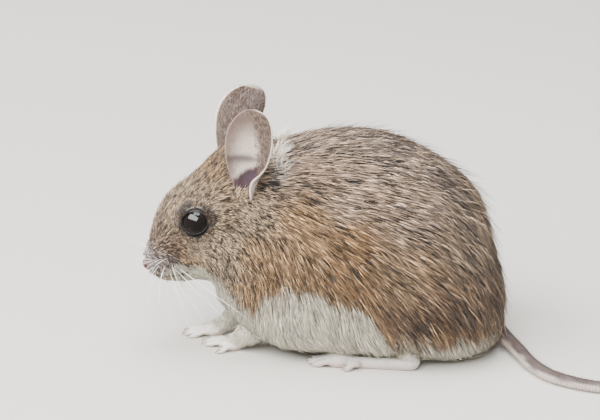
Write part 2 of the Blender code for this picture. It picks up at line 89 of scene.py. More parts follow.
# ---- the coat: place, lie, hair length, depth over the skin, colour and share of black hairs ----
GUIDES = [
    ((-34.2, -1.7, 19.6), (0.45, 0, 0.9), 1, 0.14, PALE_SMOKE, 0.10),
    ((-33, -2.6, 14.8), (0.85, 0, -0.4), 1.1, 0.2, PALE_SMOKE, 0.10),
    ((-32.9, -1.7, 22.2), (0.6, 0, 0.8), 1.3, 0.35, UMBER, 0.44),
    ((-31.5, -1.7, 25), (0.5, 0, 0.86), 1.5, 0.45, UMBER, 0.36),
    ((-27, -1.5, 31), (0.6, 0, 0.8), 1.9, 0.65, FAWN, 0.36),
    ((-21, -1, 37), (0.75, 0, 0.65), 2.4, 0.9, BUFF, 0.32),
    ((-14, 0, 41.5), (0.95, 0, 0.3), 4, 1.3, BUFF, 0.2),
    ((-33, -4.5, 18.5), (0.7, -0.3, -0.5), 1, 0.2, SMOKE, 0.36),
    ((-30, -5.8, 17.5), (0.5, -0.2, -0.8), 1.5, 0.35, SMOKE, 0.46),
    ((-31, -4.5, 22.5), (0.75, -0.2, 0.55), 1.4, 0.4, UMBER, 0.36),
    ((-27.5, -6.5, 21.5), (0.95, -0.2, -0.1), 1.8, 0.5, RUSSET, 0.30),
    ((-28, -5, 28), (0.65, 0, 0.75), 1.6, 0.5, FAWN, 0.34),
    ((-23.8, -7.5, 32), (0.8, 0, 0.6), 1.8, 0.6, FAWN, 0.34),
    ((-19.5, -8.5, 29), (1, -0.1, 0.05), 1.8, 0.6, FAWN, 0.30),
    ((-23.2, -8.2, 22.4), (0.9, -0.2, -0.35), 1.5, 0.5, PALE_BUFF, 0.22),
    ((-24.6, -7.2, 18.6), (0.75, -0.1, -0.65), 1.7, 0.6, TAN, 0.40),
    ((-18, -10, 24), (0.8, -0.2, -0.55), 1.9, 0.7, PALE_BUFF, 0.38),
    ((-18.5, -10, 18.5), (0.5, -0.1, -0.86), 2.1, 0.8, FAWN, 0.38),
    ((-13, -10.5, 30), (0.85, -0.3, -0.35), 2, 0.75, PALE_BUFF, 0.30),
    ((-12.5, -12, 23), (0.5, -0.1, -0.86), 3.9, 1.3, BUFF, 0.2),
    ((-14, -11.5, 15), (0.2, 0, -1), 4.6, 1.4, BUFF, 0.12),
    ((-8, -8.5, 38), (0.93, -0.2, 0.05), 4.4, 1.5, GREY_BROWN, 0.2),
    ((-27, -1, 13.5), (0.95, 0, -0.2), 1.8, 0.6, WHITE_FUR, 0),
    ((-19, 0, 10), (0.7, 0, -0.6), 3.6, 1.1, WHITE_FUR, 0),
    ((-5, 0, 43), (1, 0, 0.15), 5.8, 1.7, GREY_BROWN, 0.26),
    ((10, 0, 44), (1, 0, -0.05), 6.6, 1.9, GREY_BROWN, 0.28),
    ((20, 0, 40), (0.9, 0, -0.45), 7, 2, GREY_BROWN, 0.28),
    ((28, 0, 33), (0.6, 0, -0.8), 7.4, 2.2, UMBER, 0.28),
    ((34, 0, 20), (0.15, 0, -1), 7, 2.1, UMBER, 0.22),
    ((36, 0, 8), (-0.1, 0, -1), 4.8, 1.6, UMBER, 0.2),
    ((-4, -13, 30), (0.88, -0.1, -0.45), 5.4, 1.7, BUFF, 0.16),
    ((-6, -14.5, 21), (0.5, 0, -0.87), 5.4, 1.7, BUFF, 0.12),
    ((-8, -13.5, 13), (0.15, 0, -1), 5.2, 1.6, OCHRE, 0.08),
    ((5, -14.5, 34), (0.97, -0.1, -0.2), 6.2, 1.9, GREY_BROWN, 0.2),
    ((5, -16.5, 27), (0.88, -0.1, -0.45), 6.2, 1.9, SAND, 0.14),
    ((5, -17, 19), (0.66, 0, -0.75), 6, 1.9, SAND, 0.12),
    ((4, -16.5, 11), (0.3, 0, -0.95), 6.2, 1.7, OCHRE, 0.06),
    ((17, -15.5, 32), (0.92, 0, -0.4), 6.8, 2, GREY_BROWN, 0.2),
    ((17, -18.3, 21), (0.82, 0, -0.57), 6.2, 2, HAZEL, 0.18),
    # painted shade: the darker browns low on the haunch stand for the shade under the body
    ((13, -17.5, 10), (0.6, 0, -0.8), 5.8, 1.8, RUSSET, 0.16),
    ((20.5, -17.8, 10.6), (0.72, 0, -0.7), 6, 1.9, SHADED_CHESTNUT, 0.22),
    ((28, -12, 26), (0.62, 0, -0.78), 7.2, 2.1, UMBER, 0.24),
    # painted shade: and so do the darker browns low on the rump
    ((30.5, -13, 14), (0.45, 0, -0.9), 6.6, 2, RUSSET, 0.16),
    ((26, -16, 6), (0.4, 0.1, -0.9), 5.2, 1.6, SHADED_CHESTNUT, 0.16),
    ((0, -8, 2), (0.9, 0, 0), 4.5, 1.1, WHITE_FUR, 0),
    ((20, -8, 2), (0.9, 0, 0), 4.5, 1.1, WHITE_FUR, 0),
    ((-13, -5.5, 6), (-0.4, 0, -0.9), 2.8, 0.7, WHITE_FUR, 0),
    ((16.5, -15.5, 3), (0.1, 0, -1), 3.6, 0.9, WHITE_FUR, 0),
]
GUIDE_REACH = 3.0  # square millimetres that soften the nearest guide's hold
BELLY_LINE = [  # along the body, and the height where the white underside begins
    (-35, 15.4), (-30.2, 16), (-26.8, 18.2), (-24.3, 17.4), (-20.7, 17.2), (-19, 14.8),
    (-17, 12.8), (-15.5, 10.9), (-13.6, 10.2), (-12, 10.4), (-11, 12.6), (-8.7, 14.2),
    (-6.8, 15), (-3.9, 15), (1.1, 13.2), (4.7, 12.4), (10.1, 10.2), (12.4, 7.4),
    (15.3, 2.8), (17, 1.6), (19.5, 1.8), (21.1, 4.2), (24, 4.4), (29, 3.4), (34, 3.4),
]
EAR_PATCHES = [  # the white hairs behind the right ear: centre and radii
    ((-8.5, 5.2, 40.4), (1.8, 3.5, 3.2)), ((-7.7, 8.2, 38.2), (1.5, 2.4, 2.4)),
]
EAR_SHADES = [(-9.2, 38.4, 1.1), (-8.4, 36, 1.2), (-10.4, 35.2, 0.9)]  # black hairs under it: x, z, radius
EYE_MARKS = [  # dark hairs round the eye: how far back and up from its centre, and radius
    (-1.7, 3.2, 0.9), (3.5, 1.2, 1.0), (2.7, 2.3, 0.9), (1.6, 3.0, 0.7),
]
SHADED_CREASE = ((16.7, 18.7, 22, 27.6, 34.9), (5.6, 7.4, 9.2, 10.6, 11.4))  # painted shade in the crease behind the thigh: along, and up

STRANDS_IN_TUFT = 4
COVERAGE = 11.35  # times that the strands would cover the skin, laid flat
SHORT = (2.2, 4.5)  # hair is short below the first length, and long above the second
SHORT_SPARED, PALE_SPARED = 4.2, 3.2  # how much less of that cover short and white hair have
ROOT_DEPTH = 0.35  # how deep a strand is bedded in the skin
MIDDLE_AT, MIDDLE_RISE = 0.45, 0.78  # a strand's middle: its shares of the length and of the rise
CONTRAST, SHORT_CONTRAST = 0.38, 0.14  # between tufts, and how much more where hair is short
BRIGHTEST = 0.90  # the most that any of a hair's three colours may be, so that it keeps its hue
BANDED = 0.42  # share of coloured strands that are pale in the middle and dark at the tip
PATCH = 0.003  # a tuft's width on its map
COAT_FLOOR, HAIR_FLOOR = 0.05, 0.03  # how near to the floor hair may come
COAT_PIECES = [
    "face_left", "cheek_left", "cheek_right", "shoulder_left", "shoulder_right", "haunch_left",
    "haunch_right", "back", "rump", "belly", "face_right",
]

# ---- head ----
NOSE_TIP = Vector((-34.7, -1.7, 17.5))
HEAD_TURN = Euler((math.radians(-4), math.radians(-22), math.radians(5))).to_matrix()
HEAD = Matrix.Translation(NOSE_TIP) @ HEAD_TURN.to_4x4()


def from_head(place):
    """The body's own place for one given in the head's frame."""
    return np.array(HEAD @ Vector(place))


EYE_RADIUS = 2.7
EYES = {side: from_head((13.3, sign * 5.7, 4.8)) for side, sign in SIDES}
GAZE = {
    side: np.array((HEAD_TURN @ Vector((-0.30, sign * 0.93, 0.22))).normalized()) for side, sign in SIDES}
LID_PROFILE = [  # degrees from the gaze, height over the eyeball, and darkness of the skin
    (58, -0.25, 1.0), (58, 0.0, 1.0), (58.5, 0.10, 1.0), (60.5, 0.18, 0.97), (63, 0.20, 1.0),
    (68, 0.20, 1.0), (76, 0.22, 1.0), (88, 0.20, 1.0), (104, 0.0, 1.0), (118, -0.3, 1.0),
]
LID_COLUMNS = 56
NOSE_CENTRE = (1.15, 0.0, -0.9)
NOSE_RADII = (1.4, 1.9, 1.4)
NOSE = from_head(NOSE_CENTRE)
NOSE_ROWS, NOSE_COLUMNS = 44, 64
MOUTH = ((1.2, 2.0, 3.0, 4.6, 6.6, 8.6), (-2.2, -2.9, -3.7, -4.4, -4.7, -4.4))  # back, and up
WHISKER_ROWS = [  # height on the pad, and how far the row points up and fans back, in degrees
    (0.0, 34, 15), (-1.0, 2, 17), (-1.9, -34, 27), (-2.8, -56, 22),
]
WHISKERS_IN_ROW = 4
WHISKER_STEPS, WHISKER_SIDES = 12, 5
LONG_WHISKER = ((5.6, 4.2, -1.6), (0.76, 0.56, -0.40), 16.5, 0.085)  # root, way, length and radius

EARS = {  # root, tip, way that it opens, and half its width
    "left": ((-13.9, -7.6, 33.4), (-11.7, -11.2, 51.4), (-0.52, -0.85, 0.0), 5.8),
    "right": ((-17.3, 5.6, 34.4), (-12.8, 9.4, 50.0), (-0.55, 0.83, 0.0), 6.1),
}
EAR_ROOT_SHARE = 0.40
EAR_WIDEST = 0.60
EAR_CURL_RADII = (2.7, 6.2, 9.0)
EAR_CURL = 2.2  # how far the rear edge curls over near the root, radians
EAR_ROWS, EAR_COLUMNS = 60, 41

# ---- feet and tail ----
WRISTS = {"left": (-16.7, -4.3), "right": (-20.2, 3.3)}
FORE_HEADING = {"left": 20, "right": 2}
# each digit: its root forward and across, its length, and its splay in degrees
FORE_DIGITS = [(1.2, -1.35, 4.0, -10), (1.9, -0.45, 4.2, -3), (1.7, 0.6, 4.1, 6), (0.2, 1.4, 2.9, 46)]
FORE_DIGIT_RADIUS = 0.62
HEELS = {"left": (17.7, -15.2), "right": (17.7, 15.2)}
HIND_HEADING = 9
HIND_DIGITS = [
    (12.8, -1.35, 3.8, -20), (14.3, -1.15, 4.7, -6), (14.8, 0, 4.8, 0), (14.4, 1.15, 4.5, 5),
    (10.4, 1.3, 2.6, 34),
]
HIND_DIGIT_RADIUS = 0.72
CLAW_LENGTH = 1.25
CLAW_STEPS, CLAW_SIDES = 7, 8

TAIL_POINTS = [  # x, y, z and radius
    (30.5, 2.0, 4.6, 2.0), (34.2, 0.4, 3.0, 1.7), (36.8, -4.0, 1.9, 1.52), (38.9, -9.6, 1.55, 1.45),
    (41.2, -16.2, 1.35, 1.38), (45.6, -22.3, 1.25, 1.3), (55.0, -26.6, 1.1, 1.15),
    (71.0, -27.6, 0.9, 0.95), (88.0, -24.2, 0.7, 0.72), (102.5, -18.4, 0.48, 0.46),
]
TAIL_SIDES = 14
TAIL_RING = 0.62  # from one ring of scales to the next
TAIL_CREASE = 0.55  # from one fine crease between the scales to the next

# ---- the skin's making ----
SWELL = 0.2  # how far the solids are swollen so that they meet, and drawn in again
BODY_VOXEL, LIMB_VOXEL = 0.6, 0.24
FACE_END = -20.0  # in front of this x the skin is finer
BELLY_FLOOR, FOOT_FLOOR = 1.2, 0.02  # the skin's lowest points


# ---- small tools ----
def ramp(x, low, high):
    """0 at low, 1 at high, smooth between."""
    t = np.clip((x - low) / (high - low), 0.0, 1.0)
    return t * t * (3 - 2 * t)


def fall(x, low, high):
    """1 at low, 0 at high, smooth between."""
    return 1 - ramp(x, low, high)


def bell(x, width, middle=0.0):
    """1 at the middle and near 0 two widths from it."""
    return np.exp(-((x - middle) / width) ** 2)


def mix(a, b, share):
    """Colours a and b, each one colour or a row for each point, mixed by a share for each point."""
    return a + (b - a) * np.asarray(share)[:, None]


def unit(rows):
    return rows / np.maximum(np.linalg.norm(rows, axis=1, keepdims=True), 1e-9)


def flatten(vectors, normals):
    """The vectors laid in the planes square to the normals."""
    return unit(vectors - normals * (vectors * normals).sum(1, keepdims=True))


def distance(points, place):
    return np.linalg.norm(points - place, axis=1)


def near_eye(points):
    return np.min([distance(points, eye) for eye in EYES.values()], axis=0)


def off_eye(points):
    """0 close to an eye, 1 well clear of both."""
    return ramp(near_eye(points), 3.0, 6.0)


def near_nose(points):
    return distance(points, NOSE)


def in_head(points):
    """The points' places in the head's frame."""
    head = np.array(HEAD.inverted())
    return points @ head[:3, :3].T + head[:3, 3]


def wander(points, scale, seed):
    """Smooth noise from about -1 to 1 at points, a sum of seven waves in random directions."""
    rng = np.random.default_rng(seed)
    total = np.zeros(len(points))
    for _ in range(7):
        wave = rng.normal(size=3) / scale
        total += np.sin(points @ wave + rng.uniform(0, TURN))
    return total / 2.6


# ---- meshes as arrays ----
def corners(points, triangles):
    """The three corners of every triangle."""
    return [points[triangles[:, k]] for k in range(3)]


def joined(pieces):
    """Pieces of mesh as one: points, triangles, and whatever rows each piece has besides."""
    points, triangles, *besides = zip(*pieces)
    starts = np.cumsum([0, *map(len, points)])
    triangles = np.concatenate([part + start for part, start in zip(triangles, starts)])
    return np.concatenate(points), triangles, *(np.concatenate(rows) for rows in besides)


def grid_triangles(rows, columns, closed=False):
    """Triangles over a grid of points, whose columns may close into rings."""
    i, j = np.meshgrid(np.arange(rows - 1), np.arange(columns if closed else columns - 1), indexing="ij")
    k = (j + 1) % columns
    a, b, c, d = i * columns + j, i * columns + k, (i + 1) * columns + k, (i + 1) * columns + j
    return np.concatenate([np.stack((a, b, c), -1).reshape(-1, 3), np.stack((a, c, d), -1).reshape(-1, 3)])


def facing_out(points, triangles, inside):
    """The triangles turned so that they face away from the points inside."""
    a, b, c = corners(points, triangles)
    away = (a + b + c) / 3 - inside
    wrong = (np.cross(b - a, c - a) * away).sum(1) < 0
    turned = triangles.copy()
    turned[wrong] = turned[wrong][:, ::-1]
    return turned


def smooth_rows(rows, steps):
    """The rows of numbers with smooth ones between them, as a Catmull-Rom curve runs through points."""
    padded = [rows[0], *rows, rows[-1]]
    smooth = []
    for before, a, b, after in zip(padded, padded[1:], padded[2:], padded[3:]):
        for i in range(steps):
            t = i / steps
            smooth.append([
                q + 0.5 * t * (r - p + t * (2 * p - 5 * q + 4 * r - s + t * (3 * (q - r) + s - p)))
                for p, q, r, s in zip(before, a, b, after)
            ])
    return np.array([*smooth, list(rows[-1])])


def ring_angles(sides):
    """The angle of each side's corner round a tube."""
    return TURN * (np.arange(sides) + 0.5) / sides


def tube(rows, sides, ends, floor=-math.inf):
    """A tube round a run of (x, y, z, radius), as points and triangles, kept above a floor.

    ends holds the points that close it: the far one, or the near and the far one.
    """
    centres, radii = rows[:, :3], rows[:, 3]
    along = unit(np.gradient(centres, axis=0))
    side = unit(np.cross(along, (0.0, 0.0, 1.0)))
    up = np.cross(side, along)
    angles = ring_angles(sides)[:, None]
    rings = centres[:, None] + radii[:, None, None] * (
        np.cos(angles) * side[:, None] + np.sin(angles) * up[:, None])
    rings[:, :, 2] = np.maximum(rings[:, :, 2], floor)
    points = np.concatenate([rings.reshape(-1, 3), *ends])
    around = np.arange(sides)
    triangles = [grid_triangles(len(rows), sides, closed=True)]
    for k, ring in enumerate((0, len(rows) - 1)[-len(ends):]):
        rim = around + ring * sides
        triangles.append(np.stack((rim, np.roll(rim, -1), np.full(sides, len(rows) * sides + k)), -1))
    triangles = np.concatenate(triangles)
    inside = np.concatenate([np.repeat(centres, sides, axis=0), centres[[1, -2]][-len(ends):]])
    return points, facing_out(points, triangles, inside[triangles].mean(1))


class Surface:
    """Part of the skin that hair grows on, with each triangle's centre, area and way out."""

    def __init__(self, points, triangles):
        self.points, self.triangles = points, triangles
        self.corners = a, b, c = corners(points, triangles)
        out = np.cross(b - a, c - a)
        self.areas = np.linalg.norm(out, axis=1) / 2
        self.normals = unit(out)
        self.centres = points[triangles].mean(1)

    def scatter(self, density):
        """Roots, density of them to a square millimetre, and the way out of the skin at each."""
        a, b, c = self.corners
        weight = self.areas * density
        total = int(weight.sum())
        reach = np.cumsum(weight) / weight.sum()
        pick = np.searchsorted(reach, (np.arange(total) + RNG.uniform(size=total)) / total)
        pick = np.minimum(pick, len(self.triangles) - 1)
        u, v = RNG.uniform(size=(2, total))
        over = u + v > 1
        u[over], v[over] = 1 - u[over], 1 - v[over]
        roots = a[pick] + (b - a)[pick] * u[:, None] + (c - a)[pick] * v[:, None]
        return roots, self.normals[pick]


def linked(name, data):
    """A new object in the scene."""
    obj = bpy.data.objects.new(name, data)
    bpy.context.scene.collection.objects.link(obj)
    return obj


def new_object(name, points, triangles, colours):
    """A mesh object from arrays in body millimetres, with a colour for each point."""
    mesh = bpy.data.meshes.new(name)
    mesh.vertices.add(len(points))
    mesh.vertices.foreach_set("co", ((points + ORIGIN) * MM).astype(np.float32).ravel())
    mesh.loops.add(triangles.size)
    mesh.loops.foreach_set("vertex_index", triangles.astype(np.int32).ravel())
    mesh.polygons.add(len(triangles))
    mesh.polygons.foreach_set("loop_start", np.arange(0, triangles.size, 3, dtype=np.int32))
    mesh.update(calc_edges=True)
    mesh.shade_smooth()
    tint = mesh.attributes.new("tint", "FLOAT_COLOR", "POINT")
    opaque = np.ones((len(points), 4), np.float32)
    opaque[:, :3] = np.clip(colours, 0, 1)
    tint.data.foreach_set("color", opaque.ravel())
    obj = linked(name, mesh)
    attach(obj, "root")
    return obj


# ---- the lie and the colours of the coat ----
Coat = namedtuple("Coat", "lie length depth colour black")


def guide_table():
    """The guides and their mirror images, each as one row of numbers."""
    rows = []
    for (x, y, z), lie, length, depth, colour, black in GUIDES:
        for sign in (-1, 1) if y else (-1,):
            rows.append((x, abs(y) * sign, z, lie[0], -lie[1] * sign, lie[2], length, depth, *colour, black))
    return np.array(rows)


GUIDE_ROWS = guide_table()


def coat_at(points):
    """The coat at points, blended from the guides."""
    blended = []
    for part in np.array_split(points, max(1, len(points) // 20000)):
        gap = ((part[:, None] - GUIDE_ROWS[:, :3]) ** 2).sum(2)
        weight = (gap + GUIDE_REACH) ** -2.2
        weight /= weight.sum(1, keepdims=True)
        blended.append(weight @ GUIDE_ROWS[:, 3:])
    rows = np.concatenate(blended)
    return Coat(rows[:, :3], rows[:, 3], rows[:, 4], rows[:, 5:8], rows[:, 8])


def lie_at(points, coat):
    """The way of the hair at points: the guides' way, turned outwards round the eyes."""
    way = coat.lie
    for eye in EYES.values():
        off = points - eye
        way = way + unit(off) * (1.4 * bell(distance(points, eye), 1.6, EYE_RADIUS))[:, None]
    return unit(way)


def lie_of(points, normals, coat):
    """The same way, laid along the surface."""
    return flatten(lie_at(points, coat), normals)


def depth_at(points, coat):
    """How far the skin lies under the coat's outline."""
    return coat.depth * (0.25 + 0.75 * off_eye(points)) * ramp(near_nose(points), 1.0, 4.0)


def mouth_at(points, width=0.24):
    """How near points are to the line of the mouth and to the cleft above it, from 0 to 1."""
    x, y, z = in_head(points).T
    line = bell(z, width, np.interp(x, *MOUTH)) * ramp(x, 0.6, 1.4) * fall(x, 7.0, 8.8)
    cleft = bell(y, 0.16) * ramp(z, -3.1, -2.6) * fall(z, -1.2, -0.6) * fall(x, 2.4, 3.4)
    return np.maximum(line, cleft)


def whisker_place(rises, column, sign):
    """Where a whisker stands on its pad, in the head's frame."""
    return Vector((2.5 + column, sign * (2.75 + 0.46 * column), rises - 0.12 * column))


def pad_spots(points):
    """How near points are to the dark spots that the whiskers stand in, from 0 to 1."""
    x, y, z = in_head(points).T
    gap = np.full(len(points), 9.0)
    for rises, _, _ in WHISKER_ROWS:
        for column in range(WHISKERS_IN_ROW):
            place = whisker_place(rises, column, 1)
            gap = np.minimum(gap, np.hypot(x - place.x, 0.75 * (z - place.z)))
    return fall(gap, 0.16, 0.42) * ramp(np.abs(y), 1.0, 1.8) * fall(x, 6.5, 7.5)


def markings(points, normals, coat):
    """The coat's colour at points, its whiteness and its share of black hairs."""
    x, y, z = points.T
    y = np.abs(y)
    ragged = 0.9 * wander(points, 1.1, 5) + 0.5 * wander(points, 0.4, 6)
    above = z - np.interp(x, *zip(*BELLY_LINE)) + ragged
    orange = bell(above, 2.6, 2.0) * ramp(x, -22.0, -8.0)
    colour, black = mix(coat.colour, OCHRE, 0.4 * orange), coat.black
    white = np.maximum(fall(above, -0.9, 1.1), ramp(-normals[:, 2], 0.55, 0.8) * fall(y, 12.5, 15.0))
    for place, radii in EAR_PATCHES:
        patch = np.linalg.norm((np.stack((x, y, z), 1) - place) / radii, axis=1)
        cream = fall(patch + 0.4 * ragged, 0.7, 1.2)
        colour = mix(colour, PALE_BUFF, fall(patch + 0.3 * ragged, 1.1, 1.6))
        colour = mix(colour, EAR_WHITE, cream)
        black = black * (1 - 0.7 * cream)

    marks_and_shade = []  # dark marks, and painted shade in creases: where, colour, how strong it is, share of black hairs, and of white lost
    for along, up, radius in EAR_SHADES:
        shade = fall(np.hypot(x - along, z - up) / radius, 0.6, 1.3) * ramp(y, 6.0, 7.0)
        marks_and_shade.append((shade, SOOT, 0.85, 0.95, 1.0))
    eyes = near_eye(points)
    for eye in EYES.values():
        for back, up, radius in EYE_MARKS:
            gap = np.hypot(x - eye[0] - back, z - eye[2] - up) / radius
            marks_and_shade.append(((eyes < 7.0) * fall(gap, 0.5, 1.35), SOOT, 0.85, 0.95, 0.0))
    marks_and_shade.append((fall(eyes, 3.1, 4.0), SOOT * 1.5, 0.9, 0.0, 0.0))
    # partly the mouth's own darker hair, partly painted shade along its line
    marks_and_shade.append((mouth_at(points, 0.32), SOOT * 1.5, 0.75, 0.8, 0.75))
    marks_and_shade.append((pad_spots(points), UMBER * 0.35, 0.6, 0.8, 0.0))
    # painted shade: the crease behind the thigh is darkened and given more black hairs
    crease_shade = bell(z, 1.1, np.interp(x, *SHADED_CREASE)) * ramp(x, 17.0, 22.0) * ramp(y, 6.0, 10.0)
    marks_and_shade.append((crease_shade, np.zeros(3), 0.32, 0.4, 0.0))
    for share, dark_tint, strength, hairs, lost in marks_and_shade:
        colour = mix(colour, dark_tint, strength * share)
        black = np.maximum(black, hairs * share)
        white = white * (1 - lost * share)

    brightness = 1 + 0.13 * wander(points, 3.2, 8) + 0.08 * wander(points, 1.0, 9)
    return mix(colour * brightness[:, None], WHITE_FUR, white), white, black * (1 - white)


# ---- the skin's shells ----
def rows_of(items, key, kind=float):
    """A vector of each item of a mesh, as rows."""
    values = np.empty(len(items) * 3, kind)
    items.foreach_get(key, values)
    return values.reshape(-1, 3)


def remeshed(nodes, voxel, smoothing, finer_face=False):
    """The nodes' meshes swollen a little and made one even surface: points, normals and triangles."""
    source = bmesh.new()
    for node in nodes:
        source.from_mesh(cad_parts[node].data)
    bmesh.ops.remove_doubles(source, verts=source.verts, dist=2e-6)
    bmesh.ops.recalc_face_normals(source, faces=source.faces)
    source.normal_update()
    shifts = [vertex.normal * SWELL * MM for vertex in source.verts]
    for vertex, shift in zip(source.verts, shifts):
        vertex.co += shift
    mesh = bpy.data.meshes.new("flesh")
    source.to_mesh(mesh)
    source.free()
    obj = linked("flesh", mesh)
    voxels = obj.modifiers.new("voxels", "REMESH")
    voxels.mode = "VOXEL"
    voxels.voxel_size = voxel * MM
    obj.modifiers.new("even", "SMOOTH").iterations = smoothing
    solid = obj.evaluated_get(bpy.context.evaluated_depsgraph_get())
    made = solid.to_mesh()
    if finer_face:
        divide_face(made)
    made.calc_loop_triangles()
    points = rows_of(made.vertices, "co") / MM - ORIGIN
    normals = rows_of(made.vertices, "normal")
    triangles = rows_of(made.loop_triangles, "vertices", np.int32)
    solid.to_mesh_clear()
    bpy.data.objects.remove(obj)
    bpy.data.meshes.remove(mesh)
    return points, normals, triangles


def divide_face(mesh):
    """Divides the face's part of a mesh once more, and smooths it."""
    finer = bmesh.new()
    finer.from_mesh(mesh)
    end = (FACE_END + ORIGIN[0]) * MM
    edges = [edge for edge in finer.edges if (edge.verts[0].co.x + edge.verts[1].co.x) / 2 < end]
    bmesh.ops.subdivide_edges(finer, edges=edges, cuts=1, use_grid_fill=True)
    face = [vertex for vertex in finer.verts if vertex.co.x < end]
    for _ in range(2):
        bmesh.ops.smooth_vert(
            finer, verts=face, factor=0.5, use_axis_x=True, use_axis_y=True, use_axis_z=True)
    finer.to_mesh(mesh)
    finer.free()


def body_shell():
    """Skin sunk by the coat's depth, in the coat's own markings, darkened as slate underfur and as painted
    shade deep in the coat, with the mouth pressed in.
    """
    points, normals, triangles = remeshed(
        ["head", "neck", "trunk", "thigh_left", "thigh_right"], BODY_VOXEL, 4, finer_face=True)
    coat = coat_at(points)
    mouth = mouth_at(points)
    points = points - normals * (depth_at(points, coat) + SWELL + 0.45 * mouth)[:, None]
    points[:, 2] = np.maximum(points[:, 2], BELLY_FLOOR)
    colour, white, _ = markings(points, normals, coat)
    # partly the slate underfur, partly painted shade deep in the coat between the hairs
    colour = mix(colour * 0.20, colour * 0.5, white)
    colour = mix(colour, UMBER * 0.25, 0.8 * fall(near_nose(points), 2.2, 3.4))
    colour = mix(colour, PINK_SKIN, fall(coat.length, 1.0, 2.2) * fall(points[:, 2], 3.5, 7.0))
    # partly the mouth's own darker skin, partly painted shade in its pressed-in line
    return points, triangles, mix(colour, MOUTH_SKIN_AND_SHADE * 0.6, 0.95 * ramp(mouth, 0.05, 0.4))


def rounded_heel(points):
    """The foot's points, with its rear end drawn in to a round heel."""
    length, height = 2.6, 4.0
    back = np.clip((points[:, 0] - points[:, 0].max() + length) / length, 0, 1)
    low = points[:, 2] < height
    middle = (0.0, points[(back > 0) & low, 1].mean(), 1.7)
    narrow = np.sqrt(1 - 0.97 * back ** 2.2)
    drawn = points.copy()
    for axis in (1, 2):
        drawn[:, axis] = middle[axis] + (points[:, axis] - middle[axis]) * narrow
    return drawn


def limb_shell(nodes):
    """The bare skin of a foreleg with its foot, white-haired at the top, or of a hind foot, which is
    darkened all over as painted shade.
    """
    hind = "hind" in nodes[0]
    points, normals, triangles = remeshed(nodes, LIMB_VOXEL, 2)
    points = points - normals * (SWELL + 0.04)
    if hind:
        points = rounded_heel(points)
    points[:, 2] = np.maximum(points[:, 2], FOOT_FLOOR)
    # painted shade: 0.57 darkens the whole hind foot for the shade under the haunch; the rest is fine
    # mottling
    brightness = (0.57 if hind else 1.0) * (1 + 0.05 * wander(points, 0.8, 12))
    colour = mix(PALE_SKIN * brightness[:, None], PINK_SKIN * 0.8, ramp(-normals[:, 2], -0.3, 0.6))
    if not hind:
        colour = mix(colour, WHITE_FUR * 0.8, ramp(points[:, 2], 2.5, 4.5))
    return points, triangles, colour


def tail_shell():
    """The ringed tail, dark above and pale below, with painted shade in the grooves between its rings, and
    each point's way along it.
    """
    rows = smooth_rows(TAIL_POINTS, 60)
    lengths = np.cumsum([0, *np.linalg.norm(np.diff(rows[:, :3], axis=0), axis=1)])
    even = np.arange(0, lengths[-1], TAIL_RING / 4)
    rows = np.stack([np.interp(even, lengths, column) for column in rows.T], 1)
    rows[:, 3] -= 0.07 - 0.035 * np.cos(TURN * even / TAIL_RING)
    end = rows[-1:, :3] + unit(rows[-1:, :3] - rows[-2:-1, :3]) * 0.3
    points, triangles = tube(rows, TAIL_SIDES, [end], FOOT_FLOOR)
    top = np.append(np.tile(np.sin(ring_angles(TAIL_SIDES)), len(rows)), 0.0)
    run = np.append(np.repeat(even, TAIL_SIDES), even[-1])
    colour = mix(seen(214, 197, 187), seen(86, 72, 67), ramp(top + 0.2 * wander(points, 1.5, 31), 0.25, 0.6))
    # painted shade in the grooves between the rings of scales
    groove_shade = 1 - 0.32 * (0.5 - 0.5 * np.cos(TURN * run / TAIL_RING))
    return (points, triangles, colour * groove_shade[:, None]), run


# ---- ears: share runs from 0 at the root to 1 at the tip, rear from -1 at the front edge to 1 ----
def ear_outline(share):
    """Half the ear's width, as a share of the most that it has."""
    rise = EAR_ROOT_SHARE + (1 - EAR_ROOT_SHARE) * np.sin(np.pi / 2 * np.clip(share / EAR_WIDEST, 0, 1))
    taper = np.sqrt(np.clip(1 - ((share - EAR_WIDEST) / (1 - EAR_WIDEST)) ** 2, 0, 1))
    return np.where(share < EAR_WIDEST, rise, taper)


def ear_axes(side):
    """The ear's root, its ways up, forward and across, and its height."""
    root, tip, opening = map(Vector, EARS[side][:3])
    up = (tip - root).normalized()
    facing = (opening - up * up.dot(opening)).normalized()
    return *map(np.array, (root, up, facing, up.cross(facing))), (tip - root).length


def ear_sheet(side, sign, depth_of):
    """Points of the ear's sheet, set forward of its middle by depth_of(share, rear), with both of those.

    Each row is rolled round the ear's length, and low down its rear edge curls over further.
    """
    root, up, facing, across, height = ear_axes(side)
    i, j = np.meshgrid(np.arange(EAR_ROWS), np.arange(EAR_COLUMNS), indexing="ij")
    share = 1 - (1 - i / (EAR_ROWS - 0.9)) ** 1.6
    edge = 2 * j / (EAR_COLUMNS - 1) - 1
    rear = -sign * edge
    width = EARS[side][3] * ear_outline(share)
    curl = EAR_CURL * bell(share, 0.20, 0.16) * np.clip((rear - 0.35) / 0.65, 0, 1) ** 1.6
    angle = width / np.interp(share, (0, 0.5, 1), EAR_CURL_RADII) * edge - sign * curl
    step = width * 2 / (EAR_COLUMNS - 1)
    along, forward = np.cumsum(np.cos(angle) * step, 1), np.cumsum(np.sin(angle) * step, 1)
    middle = [EAR_COLUMNS // 2]
    depth = depth_of(share, rear)
    along = along - along[:, middle] - np.sin(angle) * depth
    forward = forward - forward[:, middle] + np.cos(angle) * depth
    points = (root + up * (height * share)[..., None] + across * along[..., None]
              + facing * forward[..., None])
    return points.reshape(-1, 3), share.ravel(), rear.ravel()


